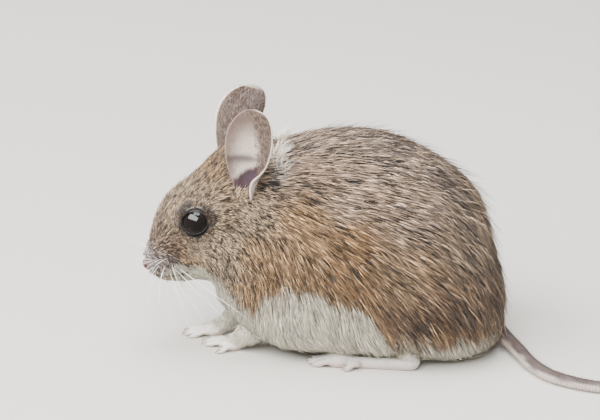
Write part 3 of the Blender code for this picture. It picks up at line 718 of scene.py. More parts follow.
def ear_thickness(share, rear):
    """Half the sheet's thickness: thin at its rim, with a small bead just inside it."""
    rear = np.abs(rear)
    thin = np.sqrt(np.clip(1 - rear ** 8, 0.10, 1)) * np.sqrt(np.clip(1 - share ** 16, 0.10, 1))
    return (0.12 + 0.16 * (1 - share)) * thin + 0.07 * bell(rear, 0.03, 0.96)


def ear_ridge(share, rear):
    """How far a place inside the ear lies above the slanting ridge over its hollow."""
    return share - 0.345 - 0.20 * rear


def ear_folds(share, rear):
    """The low ridges inside the ear: one across the hollow, and one up from the notch in front."""
    across = 0.42 * bell(ear_ridge(share, rear), 0.05) * np.clip(1 - rear ** 2, 0, 1)
    return across + 0.22 * bell(rear, 0.12, -0.62) * bell(share, 0.2, 0.2)


def ear_inside_colours(points, share, rear):
    """Pale in the middle, brown towards the tip and in a speckled strip up the rear; painted shade, mauve,
    in the hollow and above its ridge, and a painted highlight on the ridge.
    """
    grain = 0.20 * wander(points, 0.20, 77) + 0.10 * wander(points, 0.5, 78)
    over = ear_ridge(share, rear)
    high = share - 0.435 - 0.05 * rear
    # where painted shade lies, in the valley above the ridge over the hollow
    valley_shade = bell(high, np.where(high > 0, 0.035, 0.075)) * ramp(over, 0.01, 0.05)
    strip = ramp(rear + 0.6 * grain + 1.1 * (share - 0.5), 0.10, 0.50) * ramp(share, 0.18, 0.32)
    speckle = seen(98, 80, 68) * np.clip(1 + 0.75 * wander(points, 0.13, 79), 0.35, 2.4)[:, None]
    edge = mix(seen(128, 110, 100), seen(206, 186, 172), ramp(rear + 0.9 * share, -0.3, 0.4))
    edge = mix(edge, seen(240, 234, 230), ramp(rear, 0.5, 0.9) * fall(share, 0.30, 0.42))
    colour = seen(190, 174, 164)
    for tint, amount in (
        (seen(92, 75, 64), 0.9 * ramp(share - 0.14 * rear, 0.56, 0.96)),
        (seen(112, 94, 86), 0.8 * ramp(-rear - 0.3 * grain, 0.40, 0.95)),
        # painted shade: a dark band in the valley above the ridge
        (seen(84, 71, 68), 0.9 * valley_shade * (1 - 0.5 * ramp(rear, -0.2, 0.6))),
        # painted highlight along the ridge
        (seen(170, 152, 142), 0.7 * bell(over, 0.03, 0.015)),
        # painted shade, mauve, in the hollow under the ridge
        (seen(74, 55, 64), fall(over + 0.05 * grain, -0.06, 0.0)),
        (speckle, 0.95 * strip),
        (speckle, 0.75 * ramp(share + 0.4 * grain, 0.90, 0.98)),
        (edge, np.maximum(ramp(np.abs(rear), 0.955, 0.98), ramp(share, 0.982, 0.993))),
    ):
        colour = mix(colour, tint, amount)
    return colour


def ear_outside_colours(points, share, rear):
    """Brown in front and paler behind, with a pale rim."""
    grain = 0.3 * wander(points, 0.3, 80) + 0.25 * wander(points, 0.14, 81)
    colour = mix(seen(102, 86, 78), seen(167, 153, 147), ramp(rear + 0.6 * share + grain, -0.2, 1.0))
    rim = np.maximum(ramp(np.abs(rear), 0.90, 0.95), ramp(share, 0.955, 0.975))
    return mix(colour, seen(226, 210, 196), rim)


def ear_shell(side, sign):
    """An ear as a thin closed sheet, and for its hair both faces, with share and rear at their points."""
    inner, share, rear = ear_sheet(side, sign, lambda s, r: ear_thickness(s, r) + ear_folds(s, r))
    outer = ear_sheet(side, sign, lambda s, r: -ear_thickness(s, r))[0]
    rows, columns, count = EAR_ROWS, EAR_COLUMNS, len(inner)
    sheet = grid_triangles(rows, columns)
    border = np.concatenate([
        np.arange(rows)[::-1] * columns, np.arange(1, columns - 1),
        np.arange(rows) * columns + columns - 1, (rows - 1) * columns + np.arange(columns - 2, 0, -1)])
    after = np.roll(border, -1)
    rims = np.concatenate([
        np.stack((border, after, after + count), -1), np.stack((border, after + count, border + count), -1)])
    a, b, c = corners(inner, sheet)
    if (np.cross(b - a, c - a) @ ear_axes(side)[2]).sum() < 0:
        sheet = sheet[:, ::-1]
    else:
        rims = rims[:, ::-1]
    back = sheet[:, ::-1]
    colours = [ear_inside_colours(inner, share, rear), ear_outside_colours(outer, share, rear)]
    triangles = np.concatenate([sheet, back + count, rims])
    shell = np.concatenate([inner, outer]), triangles, np.concatenate(colours)
    return shell, (Surface(inner, sheet), Surface(outer, back), share, rear)


def nose_shell():
    """The bare pad of the nose, with its comma-shaped nostrils and the cleft between them, both darkened as
    painted shade.
    """
    polar = np.pi * (np.arange(NOSE_ROWS) + 0.5) / NOSE_ROWS
    around = TURN * np.arange(NOSE_COLUMNS) / NOSE_COLUMNS
    polar, around = np.meshgrid(polar, around, indexing="ij")
    ball = np.stack((-np.cos(polar), np.sin(polar) * np.cos(around), np.sin(polar) * np.sin(around)), -1)
    ball = ball.reshape(-1, 3)
    y, z = np.abs(ball[:, 1]), ball[:, 2]
    comma = bell(y, 0.13, 0.74 + 0.35 * z) * bell(z, 0.24, -0.05)
    cleft = bell(y, 0.09) * ramp(-z, -0.5, 0.1)
    wing = bell(y, 0.25, 0.66) * bell(z, 0.3, 0.42)
    flat = ramp(z, 0.35, 1.0) * bell(y, 0.5)
    swell = 1 - 0.36 * comma - 0.22 * cleft + 0.08 * wing - 0.14 * flat
    head = np.array(HEAD)
    points = (ball * NOSE_RADII * swell[:, None] + NOSE_CENTRE) @ head[:3, :3].T + head[:3, 3]
    triangles = facing_out(points, grid_triangles(NOSE_ROWS, NOSE_COLUMNS, closed=True), NOSE)
    mottled = 1 + 0.08 * wander(points, 0.25, 61)
    # painted shade: the nostrils are darkened
    colour = mix(NOSE_SKIN * (0.8 * mottled)[:, None], seen(44, 30, 29), np.clip(comma * 1.4, 0, 1))
    # painted shade: and the cleft between them
    return points, triangles, mix(colour, seen(108, 78, 74), cleft * 0.8)


def lid_shell(side):
    """A ring of lid round the eye, drawn out a little at its two corners."""
    around = TURN * np.arange(LID_COLUMNS) / LID_COLUMNS
    eye, gaze = EYES[side], GAZE[side]
    back = flatten(np.array([(0.97, 0.0, 0.22)]), gaze)[0]
    up = np.cross(gaze, back)
    up = up * np.sign(up[2])
    corner = 7.0 * np.cos(2 * around) + 2.5 * np.cos(around)
    rings, dark = [], []
    for degrees, height, shade in LID_PROFILE:
        polar = np.radians(degrees + corner * ramp(100 - degrees, 0, 30))[:, None]
        ray = np.cos(polar) * gaze + np.sin(polar) * (
            np.cos(around)[:, None] * back + np.sin(around)[:, None] * up)
        rings.append(eye + ray * (EYE_RADIUS + height))
        dark.append(np.full(LID_COLUMNS, shade))
    points = np.concatenate(rings)
    triangles = facing_out(points, grid_triangles(len(rings), LID_COLUMNS, closed=True), eye - gaze * 0.4)
    return points, triangles, mix(seen(150, 122, 110), LID_SKIN, np.concatenate(dark))


# ---- tufts ----
def strands(paths, sides, widths, colours):
    """Closed three-sided spikes along paths of three points, as vertices, triangles and colours.

    Each has a ring of three corners at its first two points and comes to a point at the third.
    """
    count = len(paths[0])
    vertices = np.empty((count, 7, 3))
    for row, (point, wide) in enumerate(zip(paths[:2], (1.0, 0.85))):
        along = unit(paths[row + 1] - point)
        across = flatten(sides, along)
        lift = np.cross(across, along)
        for k in range(3):
            angle = TURN * k / 3 + math.pi / 2
            vertices[:, row * 3 + k] = point + (widths * wide)[:, None] * (
                across * math.cos(angle) + lift * math.sin(angle) * 0.8)
    vertices[:, 6] = paths[2]
    faces = [(2, 1, 0)]
    for k in range(3):
        j = (k + 1) % 3
        faces += [(k, j, 3 + j), (k, 3 + j, 3 + k), (3 + k, 3 + j, 6)]
    triangles = (np.arange(count)[:, None, None] * 7 + np.array(faces)).reshape(-1, 3)
    tints = np.repeat(np.stack(colours, 1), (3, 3, 1), axis=1)
    return vertices.reshape(-1, 3), triangles, tints.reshape(-1, 3)


def on_skin(tree, points, fallback):
    """The nearest places on the skin, and the way out of it there."""
    places, normals = points.copy(), fallback.copy()
    for i, point in enumerate(points):
        place, normal, _, _ = tree.find_nearest(Vector(point))
        if place is not None:
            places[i], normals[i] = place, normal
    return places, normals


def strand_radius(length):
    return 0.030 + 0.0125 * length


def chance(share, size):
    """Yes or no at random, and yes for this share."""
    return RNG.uniform(size=size) < share


def strand_colours(hue, white, black, light, dark):
    """Each strand's root, middle and tip: slaty at the root, then in the coat's hue, banded or all black."""
    n = len(hue)
    guard = ((dark & chance(0.75, n)) | chance(0.25 * black, n))[:, None]
    light = light * np.exp(RNG.normal(0.0, 0.12, n))
    warm = 1 + RNG.normal(size=(n, 1)) * np.array((0.02, 0.0, -0.04))
    tone = np.maximum(hue * light[:, None] * warm, 0.01)
    tone = tone * np.minimum(1.0, BRIGHTEST / tone.max(1, keepdims=True))
    tone = mix(tone, WHITE_FUR * light.clip(0.64, 1.05)[:, None], white * 0.8)
    low = mix(SLATE * 0.6, SLATE * 2.2, white)
    centre = mix(tone * 0.36, tone * 0.70, white)
    tone = tone * 1.04
    banded = chance(BANDED * (1 - white), n)[:, None]
    centre, tone = np.where(banded, tone, centre), np.where(banded, tone * 0.30, tone)
    return low, np.where(guard, BLACK_HAIR * 1.6, centre), np.where(guard, BLACK_HAIR, tone)


def coat_strands(tree, roots, normals):
    """Four strands to each root, bedded in the skin, lying along the coat and tapering to its outline."""
    coat = coat_at(roots)
    length = coat.length * (0.40 + 0.60 * off_eye(roots)) * (1 - 0.6 * mouth_at(roots, 0.9))
    radius = strand_radius(length)
    contrast = CONTRAST + SHORT_CONTRAST * fall(length, *SHORT)
    depth, length = np.maximum(depth_at(roots, coat), 0.15)[:, None], length[:, None]
    way = lie_of(roots, normals, coat)
    side = np.cross(normals, way)
    first, first_out = on_skin(tree, roots + way * (length * MIDDLE_AT), normals)
    onward = lie_of(first, first_out, coat_at(first))
    second, second_out = on_skin(tree, first + onward * (length * (1 - MIDDLE_AT)), first_out)
    middle, end = first + first_out * (depth * MIDDLE_RISE), second + second_out * depth
    hue, white, black = markings(0.5 * (middle + end), normals, coat_at(middle))
    n = len(roots)
    light = np.exp(np.clip(RNG.normal(size=n) * contrast + 0.5 * (contrast - CONTRAST), -1.3, 0.48))
    dark = chance(black, n)
    lots = []
    for _ in range(STRANDS_IN_TUFT):
        a, b = RNG.normal(size=(2, n, 1)) * (0.07 * length + 0.03)
        tall = RNG.uniform(0.45, 1.18, (n, 1))
        tall = np.where(chance(0.10, (n, 1)), tall * 1.25, tall)
        drift = RNG.normal(size=(n, 1)) * 0.045 * length
        stretch = RNG.uniform(-0.25, 0.12, (n, 1)) * length
        base = roots + side * a + way * b - normals * ROOT_DEPTH
        mid = middle + side * (a * 0.7 + drift * 0.4) + way * b
        mid = mid + first_out * (depth * (tall - 1) * MIDDLE_RISE)
        tip = end + side * (a * 0.3 + drift) + onward * (b + stretch)
        tip = tip + second_out * (depth * (tall - 1))
        colours = strand_colours(hue, white, black, light, dark)
        widths = radius * RNG.uniform(0.75, 1.2, n)
        lots.append((*strands([base, mid, tip], side, widths, colours), np.arange(n)))
    return joined(lots)


def unwrapped(roots, middle):
    """Places from 0 to 1 for roots on a piece of skin, spread flat round its middle direction."""
    rays = unit(roots - middle)
    pole = unit(rays.mean(0)[None])[0]
    east = unit(np.cross(pole, (0.3, 0.2, 0.9))[None])[0]
    stretch = np.sqrt(2 / (1 + np.clip(rays @ pole, -0.98, 1)))
    flat = np.stack((rays @ east, rays @ np.cross(pole, east)), -1) * stretch[:, None]
    low, high = flat.min(0), flat.max(0)
    return 0.01 + 0.98 * (flat - low) / (high - low)


def coat_piece(name, hair, roots, middle, floor):
    """One piece of coat out of strands, given as vertices, triangles, tints and the root of each strand.

    Every strand of a tuft is mapped to its tuft's small patch, root at the bottom and tip at the top.
    """
    vertices, triangles, tints, owner = hair
    vertices[:, 2] = np.maximum(vertices[:, 2], floor)
    obj = new_object("coat_" + name, vertices, triangles, tints)
    step = np.array([(-1, -1), (0, -1), (1, -1), (-1, 0), (0, 0), (1, 0), (0, 1)]) * PATCH / 2
    corner = (unwrapped(roots, middle)[owner][:, None] + step).reshape(-1, 2)
    layer = obj.data.uv_layers.new(name="OFBake")
    layer.data.foreach_set("uv", corner[triangles.ravel()].astype(np.float32).ravel())
    obj.data.materials.append(COAT)


def hair_piece(name, lots, middle):
    """One piece of coat out of several lots of single hairs."""
    vertices, triangles, tints, roots = joined(lots)
    coat_piece(name, (vertices, triangles, tints, np.arange(len(roots))), roots, middle, HAIR_FLOOR)


def short_hair(surface, density, ways, length, radius, lift, tones, spread=0.25):
    """Single fine hairs, straight spikes that rise a little from the way they lie, and their roots.

    ways, length and tones are the same for all hairs, or functions of their roots.
    """
    roots, normals = surface.scatter(COVER * density)
    ways, length = (value(roots) if callable(value) else value for value in (ways, length))
    way = flatten(ways + RNG.normal(size=roots.shape) * spread, normals)
    reach = (length * RNG.uniform(0.6, 1.2, len(roots)))[:, None]
    base = roots - normals * 0.08
    middle = roots + way * reach * 0.5 + normals * reach * lift * 0.7
    tip = roots + way * reach + normals * reach * lift
    tone = tones(roots) if callable(tones) else tones
    tone = tone * np.clip(RNG.normal(1, 0.2, len(roots)), 0.5, 1.6)[:, None]
    widths = np.full(len(roots), radius)
    return (*strands([base, middle, tip], np.cross(normals, way), widths, [tone * 0.6, tone, tone]), roots)


def either(share, one, other):
    """A function that gives each root the first colour, by this share, or the second."""
    return lambda roots: np.where(chance(share, (len(roots), 1)), one, other)


def any_of(colours, shares=None):
    """A function that gives each root one of the colours."""
    return lambda roots: np.array(colours)[RNG.choice(len(colours), size=len(roots), p=shares)]


# ---- materials ----
def feed(material, node, inputs):
    """Sets a node's inputs, each to a number or colour, or to the output that feeds it."""
    for key, value in inputs.items():
        if isinstance(value, bpy.types.NodeSocket):
            material.node_tree.links.new(value, node.inputs[key])
        else:
            node.inputs[key].default_value = value


def new_node(material, kind, inputs, **settings):
    """A shader node with its settings made and its inputs fed."""
    node = material.node_tree.nodes.new("ShaderNode" + kind)
    for key, value in settings.items():
        setattr(node, key, value)
    feed(material, node, inputs)
    return node


def noise(material, scale, detail=2):
    """Noise over the object's own space, from about 0.3 to 0.7."""
    place = new_node(material, "TexCoord", {}).outputs["Object"]
    return new_node(material, "TexNoise", {"Vector": place, "Scale": scale, "Detail": detail}).outputs["Fac"]


def relief(material, height, strength, rise, under=None):
    """Bumps of a height in millimetres, over what bumps there are already."""
    inputs = {"Height": height, "Strength": strength, "Distance": rise * MM}
    if under is not None:
        inputs["Normal"] = under
    return new_node(material, "Bump", inputs).outputs["Normal"]


def principled(name, roughness, **inputs):
    """A material and its shader, with these numbers in it."""
    material = bpy.data.materials.new(name)
    material.use_nodes = True
    shader = material.node_tree.nodes["Principled BSDF"]
    inputs = {key.replace("_", " "): value for key, value in inputs.items()}
    feed(material, shader, {"Roughness": roughness, **inputs})
    return material, shader


def tinted(name, roughness, low, high, scale, bump=0, rings=False, **inputs):
    """A surface in its own tints, made lighter and darker by fine noise, which also bumps it.

    rings adds the tail's fine creases, where the way along the tail is known.
    """
    material, shader = principled(name, roughness, **inputs)
    tint = new_node(material, "Attribute", {}, attribute_name="tint").outputs["Color"]
    grain = noise(material, scale, 4)
    spread = new_node(material, "MapRange", {
        "Value": grain, "From Min": 0.3, "From Max": 0.7, "To Min": low, "To Max": high}).outputs["Result"]
    colour = new_node(material, "VectorMath", {0: tint, "Scale": spread}, operation="SCALE")
    feed(material, shader, {"Base Color": colour.outputs["Vector"]})
    if bump:
        normal = relief(material, grain, 0.6, bump)
        if rings:
            normal = relief(material, tail_creases(material), 0.7, 0.06, normal)
        feed(material, shader, {"Normal": normal})
    return material


def tail_creases(material):
    """Waves along the tail, and nothing where there is no way along it."""
    def math_node(operation, *values):
        return new_node(material, "Math", dict(enumerate(values)), operation=operation).outputs[0]

    run = new_node(material, "Attribute", {}, attribute_name="run").outputs["Fac"]
    wave = math_node("SINE", math_node("MULTIPLY", run, TURN / TAIL_CREASE))
    return math_node("MULTIPLY", wave, math_node("GREATER_THAN", run, 0.0))


COAT = tinted("coat", 0.62, 0.88, 1.1, 900, Sheen_Weight=0.15, Specular_IOR_Level=0.3)


# ---- building ----
def make_skin():
    """One skin over everything but the eyes; gives the surfaces that hair grows on."""
    limbs = [limb_shell(nodes) for side, _ in SIDES
             for nodes in (["foreleg_" + side, "forefoot_" + side], ["hindfoot_" + side])]
    tail, run = tail_shell()
    ears = [ear_shell(side, sign) for side, sign in SIDES]
    lids = [lid_shell(side) for side, _ in SIDES]
    shells = [body_shell(), *limbs, tail, *(shell for shell, _ in ears), nose_shell(), *lids]
    skin = new_object("skin", *joined(shells))
    runs = [run if shell is tail else np.full(len(shell[0]), -1.0) for shell in shells]
    layer = skin.data.attributes.new("run", "FLOAT", "POINT")
    layer.data.foreach_set("value", np.concatenate(runs).astype(np.float32))
    skin.data.materials.append(tinted(
        "skin", 0.52, 0.86, 1.12, 2600, 0.05, rings=True, Subsurface_Weight=0.18, Subsurface_Scale=0.0012))
    flesh = [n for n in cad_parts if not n.startswith("eye")]
    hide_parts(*flesh)
    body, *limbs = (Surface(*shell[:2]) for shell in shells[:5])
    return body, limbs, Surface(*tail[:2]), [hair for _, hair in ears], [Surface(*lid[:2]) for lid in lids]


def make_eyes():
    """Two wet eyeballs, almost black, with a faint brown cloud in them."""
    material, shader = principled("eye", 0.04, Specular_IOR_Level=0.55)
    depth = new_node(material, "ValToRGB", {"Fac": noise(material, 700)})
    depth.color_ramp.elements[0].color = (0.0020, 0.0015, 0.0015, 1)
    depth.color_ramp.elements[1].color = (0.0100, 0.0060, 0.0045, 1)
    feed(material, shader, {"Base Color": depth.outputs["Color"]})
    for side, _ in SIDES:
        ball = bmesh.new()
        bmesh.ops.create_icosphere(ball, subdivisions=5, radius=EYE_RADIUS * MM)
        bmesh.ops.translate(ball, verts=ball.verts, vec=Vector((EYES[side] + ORIGIN) * MM))
        mesh = bpy.data.meshes.new("eyeball_" + side)
        ball.to_mesh(mesh)
        ball.free()
        mesh.shade_smooth()
        mesh.materials.append(material)
        eye = linked("eyeball_" + side, mesh)
        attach(eye, "root")
        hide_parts("eye_" + side)


def digits():
    """The root, way, length and radius of every digit."""
    for side, sign in SIDES:
        for middle, degrees, toes, radius in (
            (WRISTS[side], FORE_HEADING[side], FORE_DIGITS, FORE_DIGIT_RADIUS),
            (HEELS[side], HIND_HEADING, HIND_DIGITS, HIND_DIGIT_RADIUS),
        ):
            heading = sign * math.radians(degrees)
            along = Vector((-math.cos(heading), -math.sin(heading), 0))
            for forward, across, length, splay in toes:
                base = Vector((*middle, 0)) + along * forward + Vector((0, sign * across, 0))
                turn = heading - sign * math.radians(splay)
                yield base, Vector((-math.cos(turn), -math.sin(turn), 0)), length, radius


def make_claws():
    """Small hooked claws, each a tapering tube out of the end of its digit."""
    shares = np.linspace(0, 1, CLAW_STEPS)
    horn = mix(seen(206, 190, 180), seen(110, 92, 84), np.append(np.repeat(shares, CLAW_SIDES), (0, 1)))
    pieces = []
    for base, way, length, radius in digits():
        rows = []
        for share in shares:
            spot = base + way * (length - 0.1) + way * CLAW_LENGTH * share
            lift = radius * 1.15 + 0.22 * math.sin(math.pi * share * 0.8) - 0.55 * share ** 2
            rows.append((spot.x, spot.y, max(lift, 0.08), 0.26 * (1 - share) ** 0.7 + 0.03))
        rows = np.array(rows)
        pieces.append((*tube(rows, CLAW_SIDES, [rows[:1, :3], rows[-1:, :3]], FOOT_FLOOR), horn))
    claws = new_object("claws", *joined(pieces))
    claws.data.materials.append(tinted("claw", 0.35, 0.9, 1.05, 3000))


def whisker(root, way, reach, radius):
    """A tapering tube that sags towards its end, dusky at its root and pale beyond."""
    steps = np.linspace(0, 1, WHISKER_STEPS)
    way = way / np.linalg.norm(way)
    sag = np.array((0.16, 0.0, -0.10)) * reach
    centres = root + way * (steps * reach)[:, None] + sag * (steps ** 2)[:, None]
    rows = np.column_stack((centres, radius * (1 - steps) ** 0.8 + 0.012))
    shade = ramp(np.append(np.repeat(steps, WHISKER_SIDES), 1), 0.0, 0.30)
    return *tube(rows, WHISKER_SIDES, [centres[-1:]]), mix(seen(120, 106, 96), seen(252, 248, 240), shade)


def make_whiskers():
    """Whiskers in rows on each pad, longest at the back of the rows, and one long one behind them."""
    pieces = []
    turn = np.array(HEAD_TURN)
    for _, sign in SIDES:
        for rises, tilt, fan in WHISKER_ROWS:
            for column in range(WHISKERS_IN_ROW):
                root = np.array(HEAD @ whisker_place(rises, column, sign))
                turned = math.radians(34 + fan * column + RNG.normal() * 5)
                raised = math.radians(tilt - 4 * column + RNG.normal() * 6)
                way = turn @ np.array((
                    -math.cos(turned) * math.cos(raised),
                    sign * math.sin(turned) * math.cos(raised), math.sin(raised)))
                reach = (7.0 + 3.2 * column) * RNG.uniform(0.8, 1.1)
                pieces.append(whisker(root, way, reach, 0.050 + 0.006 * column))
        root, way, reach, radius = LONG_WHISKER
        mirror = np.array((1, sign, 1))
        pieces.append(whisker(from_head(root * mirror), way * mirror, reach, radius))
    points, triangles, colours = joined(pieces)
    points[:, 2] = np.maximum(points[:, 2], 0.3)
    whiskers = new_object("whiskers", points, triangles, colours)
    whiskers.data.materials.append(tinted("whisker", 0.4, 0.95, 1.05, 500))


def coat_region(points):
    """The name in COAT_PIECES of the piece that each root belongs to: the first one that takes it."""
    x, y, z = points.T
    head = (points - (-9.8, 0.0, 38.0)) @ (0.93, 0.0, -0.36) < 0
    face = head & (x < -24.5)
    left = y < np.where(head, -1.0, 0.0)
    top = np.abs(y) < 0.75 * (z - 22.0)
    front = x < 9.0
    takes = {
        "face_left": face & left, "face_right": face, "cheek_left": head & left, "cheek_right": head,
        "belly": z < 7.0, "back": top & (x < 12.0), "rump": top, "shoulder_left": front & left,
        "shoulder_right": front, "haunch_left": left,
    }
    return np.select(list(takes.values()), list(takes), "haunch_right")


def grow_coat(body, lids):
    """The coat of head, neck, trunk and thighs, and the single hairs that stand in and round it."""
    tree = BVHTree.FromPolygons([Vector(point) for point in body.points], body.triangles.tolist())
    centre, coat = body.centres, coat_at(body.centres)
    eye, nose = near_eye(centre), near_nose(centre)
    pale = markings(centre, body.normals, coat)[1]
    layers = COVERAGE - SHORT_SPARED * fall(coat.length, *SHORT) - PALE_SPARED * pale
    density = COVER * layers / (coat.length * 2 * strand_radius(coat.length)) / STRANDS_IN_TUFT
    density *= 1 - 0.72 * fall(centre[:, 2], 1.5, 5.0)  # few where the belly all but meets the floor
    density *= (eye > 2.8) * (1 + 1.2 * fall(eye, 3.0, 3.8))
    density *= (nose > 1.0) * (1 + 1.5 * fall(nose, 2.2, 3.2))
    density *= 1 - 0.95 * ramp(mouth_at(centre), 0.45, 0.85)
    roots, normals = body.scatter(density)
    region = coat_region(roots)
    for name in COAT_PIECES:
        chosen = region == name
        middle = np.median(roots[chosen], axis=0) * (1, 0, 1) - (0, 0, 4.0)
        hair = coat_strands(tree, roots[chosen], normals[chosen])
        coat_piece(name, hair, roots[chosen], middle, COAT_FLOOR)
    lots = [guard_hairs(body), *ear_fluff(body), *lashes(lids), *fringes(body)]
    hair_piece("guard", lots, (-2.0, 0.0, 18.0))


def guard_hairs(body):
    """Sparse long hairs, most of them dark, that stand proud of the coat and break its outline."""
    centre = body.centres
    white = markings(centre, body.normals, coat_at(centre))[1]
    density = (0.55 + 2.6 * fall(centre[:, 0], -16.0, -9.0)) * (1 - white) ** 3
    density *= (near_eye(centre) > 4.3) * (centre[:, 2] > 8.0)
    return short_hair(
        body, density, lambda roots: lie_at(roots, coat_at(roots)),
        lambda roots: coat_at(roots).length * 1.08 + 0.2,
        0.046, 0.40, either(0.75, BLACK_HAIR * 1.3, FAWN), 0.2)


def ear_fluff(body):
    """White hairs that stand up behind each ear, and buff ones that rise in front of its hollow."""
    x, y, z = body.centres.T
    mirrored = np.stack((x, np.abs(y), z), 1)
    gaps = [np.linalg.norm((mirrored - place) / radii, axis=1) for place, radii in EAR_PATCHES]
    cover = 15 * fall(np.min(gaps, axis=0), 0.6, 1.1)
    yield short_hair(body, cover, (0.6, 0.0, 0.6), 3.5, 0.05, 0.85, EAR_WHITE, 0.4)
    for side, sign in SIDES:
        root = np.array(EARS[side][0]) + (-2.2, sign * 1.8, 0.2)
        close = fall(distance(body.centres, root), 1.6, 2.6)
        yield short_hair(body, 18 * close, (0.35, sign * 0.5, 0.8), 2.3, 0.05, 0.9, FAWN, 0.3)


def lashes(lids):
    """Very short dark hair that softens the outer edge of the lids."""
    tone = either(0.6, SOOT * 1.2, UMBER * 0.3)
    for lid, (side, _) in zip(lids, SIDES):
        eye, gaze = EYES[side], GAZE[side]
        degrees = np.degrees(np.arccos(np.clip(unit(lid.centres - eye) @ gaze, -1, 1)))
        away = lambda roots: flatten(roots - eye, gaze)
        yield short_hair(lid, 60 * ramp(degrees, 66.0, 74.0), away, 0.75, 0.032, 0.10, tone, 0.25)


def fringes(body):
    """Short hair that lies away from the eyes and the nose pad, over the rims of their hollows."""
    dark = either(0.8, SOOT * 1.4, BUFF * 0.4)
    smoky = any_of((PALE_SMOKE * 0.8, SMOKE * 0.45, UMBER * 0.3))
    rims = [(EYES[side], 3.0, 4.1, 1.0, dark) for side, _ in SIDES]
    for middle, near, far, reach, tone in (*rims, (NOSE, 1.3, 2.9, 0.8, smoky)):
        gap = distance(body.centres, middle)
        chosen = ramp(gap, near - 0.1, near + 0.1) * fall(gap, far - 0.5, far)
        away = lambda roots: unit(roots - middle)
        yield short_hair(body, 40 * chosen, away, reach, 0.040, 0.20, tone, 0.3)


def grow_leg_hair(limbs):
    """White hair on the legs: longer and hanging high up, and short and flat on the feet."""
    down, forward = (-0.5, 0.0, -0.9), (-1.0, 0.0, -0.05)
    for (side, _), leg, foot in zip(SIDES, limbs[::2], limbs[1::2]):
        leg_rise, foot_rise = leg.centres[:, 2], foot.centres[:, 2]
        lots = [
            short_hair(leg, 32 * ramp(leg_rise, 2.0, 3.4), down, 1.9, 0.055, 0.22, WHITE_FUR),
            short_hair(leg, 14 * fall(leg_rise, 2.0, 3.4), forward, 0.8, 0.03, 0.12, WHITE_FUR),
            short_hair(foot, 14 * ramp(foot_rise, 1.0, 1.6), forward, 0.9, 0.03, 0.12, WHITE_FUR),
            short_hair(foot, 26 * ramp(foot_rise, 2.6, 4.0), down, 2.0, 0.055, 0.22, WHITE_FUR),
        ]
        middle = (leg.points.mean(0) + foot.points.mean(0)) / 2 - (0, 0, 12.0)
        hair_piece("legs_" + side, lots, middle)


def grow_tail_hair(tail):
    """Sparse bristles that lie along the tail, dark above and pale below."""
    line = smooth_rows(TAIL_POINTS, 12)[:, :3]
    steps = unit(np.gradient(line, axis=0))

    def tailwards(roots):
        return steps[((roots[:, None] - line) ** 2).sum(2).argmin(1)]

    def tones(roots):
        return mix(seen(214, 204, 196), seen(86, 74, 68), ramp(roots[:, 2], 1.2, 2.2))

    lots = [short_hair(tail, 4.0, tailwards, 1.3, 0.028, 0.14, tones, 0.1)]
    hair_piece("tail", lots, tail.points.mean(0) + (-6.0, 12.0, -20.0))


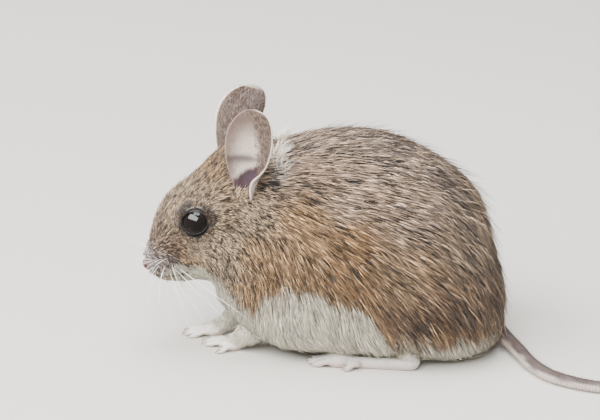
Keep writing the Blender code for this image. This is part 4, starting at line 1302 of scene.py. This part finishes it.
def grow_ear_hair(ears):
    """Speckled down over the back of each ear, and in a strip up its rear and round its tip inside."""
    speckled = any_of((seen(48, 36, 30), seen(112, 92, 78), seen(182, 160, 142)), (0.45, 0.33, 0.22))
    for (side, _), (inner, outer, share, rear) in zip(SIDES, ears):
        root, up, facing, across, height = ear_axes(side)

        def outwards(roots):
            return up + across * (0.12 * ((roots - root) @ across))[:, None]

        share_in, rear_in = share[inner.triangles].mean(1), rear[inner.triangles].mean(1)
        strip = ramp(rear_in + 1.1 * (share_in - 0.5), 0.05, 0.50) + 0.6 * ramp(share_in, 0.86, 0.95)
        inside = np.clip(strip, 0, 1) * (np.abs(rear_in) < 0.95) * (share_in < 0.965)
        share_out, rear_out = share[outer.triangles].mean(1), rear[outer.triangles].mean(1)
        behind = (np.abs(rear_out) < 0.90) * (share_out < 0.93)
        lots = [
            short_hair(outer, 15 * behind, outwards, 0.75, 0.036, 0.14, speckled),
            short_hair(inner, 34 * inside, outwards, 0.55, 0.04, 0.14, speckled),
        ]
        hair_piece("ear_" + side, lots, root + up * height * 0.5 - facing * 5.0)


def make_studio():
    """A pale floor, a soft key light from the left front and a weaker one overhead."""
    grid = bmesh.new()
    bmesh.ops.create_grid(grid, x_segments=1, y_segments=1, size=3.0)
    mesh = bpy.data.meshes.new("floor")
    grid.to_mesh(mesh)
    grid.free()
    mesh.materials.append(principled("floor", 0.8, Base_Color=(0.62, 0.60, 0.55, 1))[0])
    floor = linked("floor", mesh)
    floor.visible_glossy = False  # keeps the floor's pale glare out of the dark eyes
    world = bpy.data.worlds.new("studio")
    world.use_nodes = True
    background = world.node_tree.nodes["Background"]
    background.inputs["Color"].default_value = (0.84, 0.86, 0.87, 1)
    background.inputs["Strength"].default_value = 0.42
    bpy.context.scene.world = world
    for name, place, size, power in (
        ("key", (-0.36, -0.36, 0.56), (1.20, 0.50), 23.0),
        ("sky", (-0.02, 0.06, 0.80), (0.60, 0.60), 9.0),
    ):
        light = bpy.data.lights.new(name, "AREA")
        light.shape = "RECTANGLE"
        light.size, light.size_y = size
        light.energy = power
        lamp = linked(name, light)
        lamp.location = place
        lamp.rotation_euler = (Vector((-0.03, 0, 0.02)) - Vector(place)).to_track_quat("-Z", "Y").to_euler()


def make_camera():
    """A long lens on the animal's left, looking 20 degrees down."""
    camera = bpy.data.cameras.new("camera")
    camera.sensor_width = 36.0
    camera.lens = 184.6
    camera.clip_start = 0.05
    camera.clip_end = 20.0
    obj = linked("camera", camera)
    elevation, reach = math.radians(20), 0.6
    target = Vector((-0.0378, 0.0051, 0.0274))
    obj.location = target + reach * Vector((0, -math.cos(elevation), math.sin(elevation)))
    obj.rotation_euler = (math.pi / 2 - elevation, 0, 0)
    bpy.context.scene.camera = obj


make_camera()
make_studio()
body, limbs, tail, ears, lids = make_skin()
make_eyes()
make_claws()
make_whiskers()
grow_coat(body, lids)
grow_leg_hair(limbs)
grow_tail_hair(tail)
grow_ear_hair(ears)
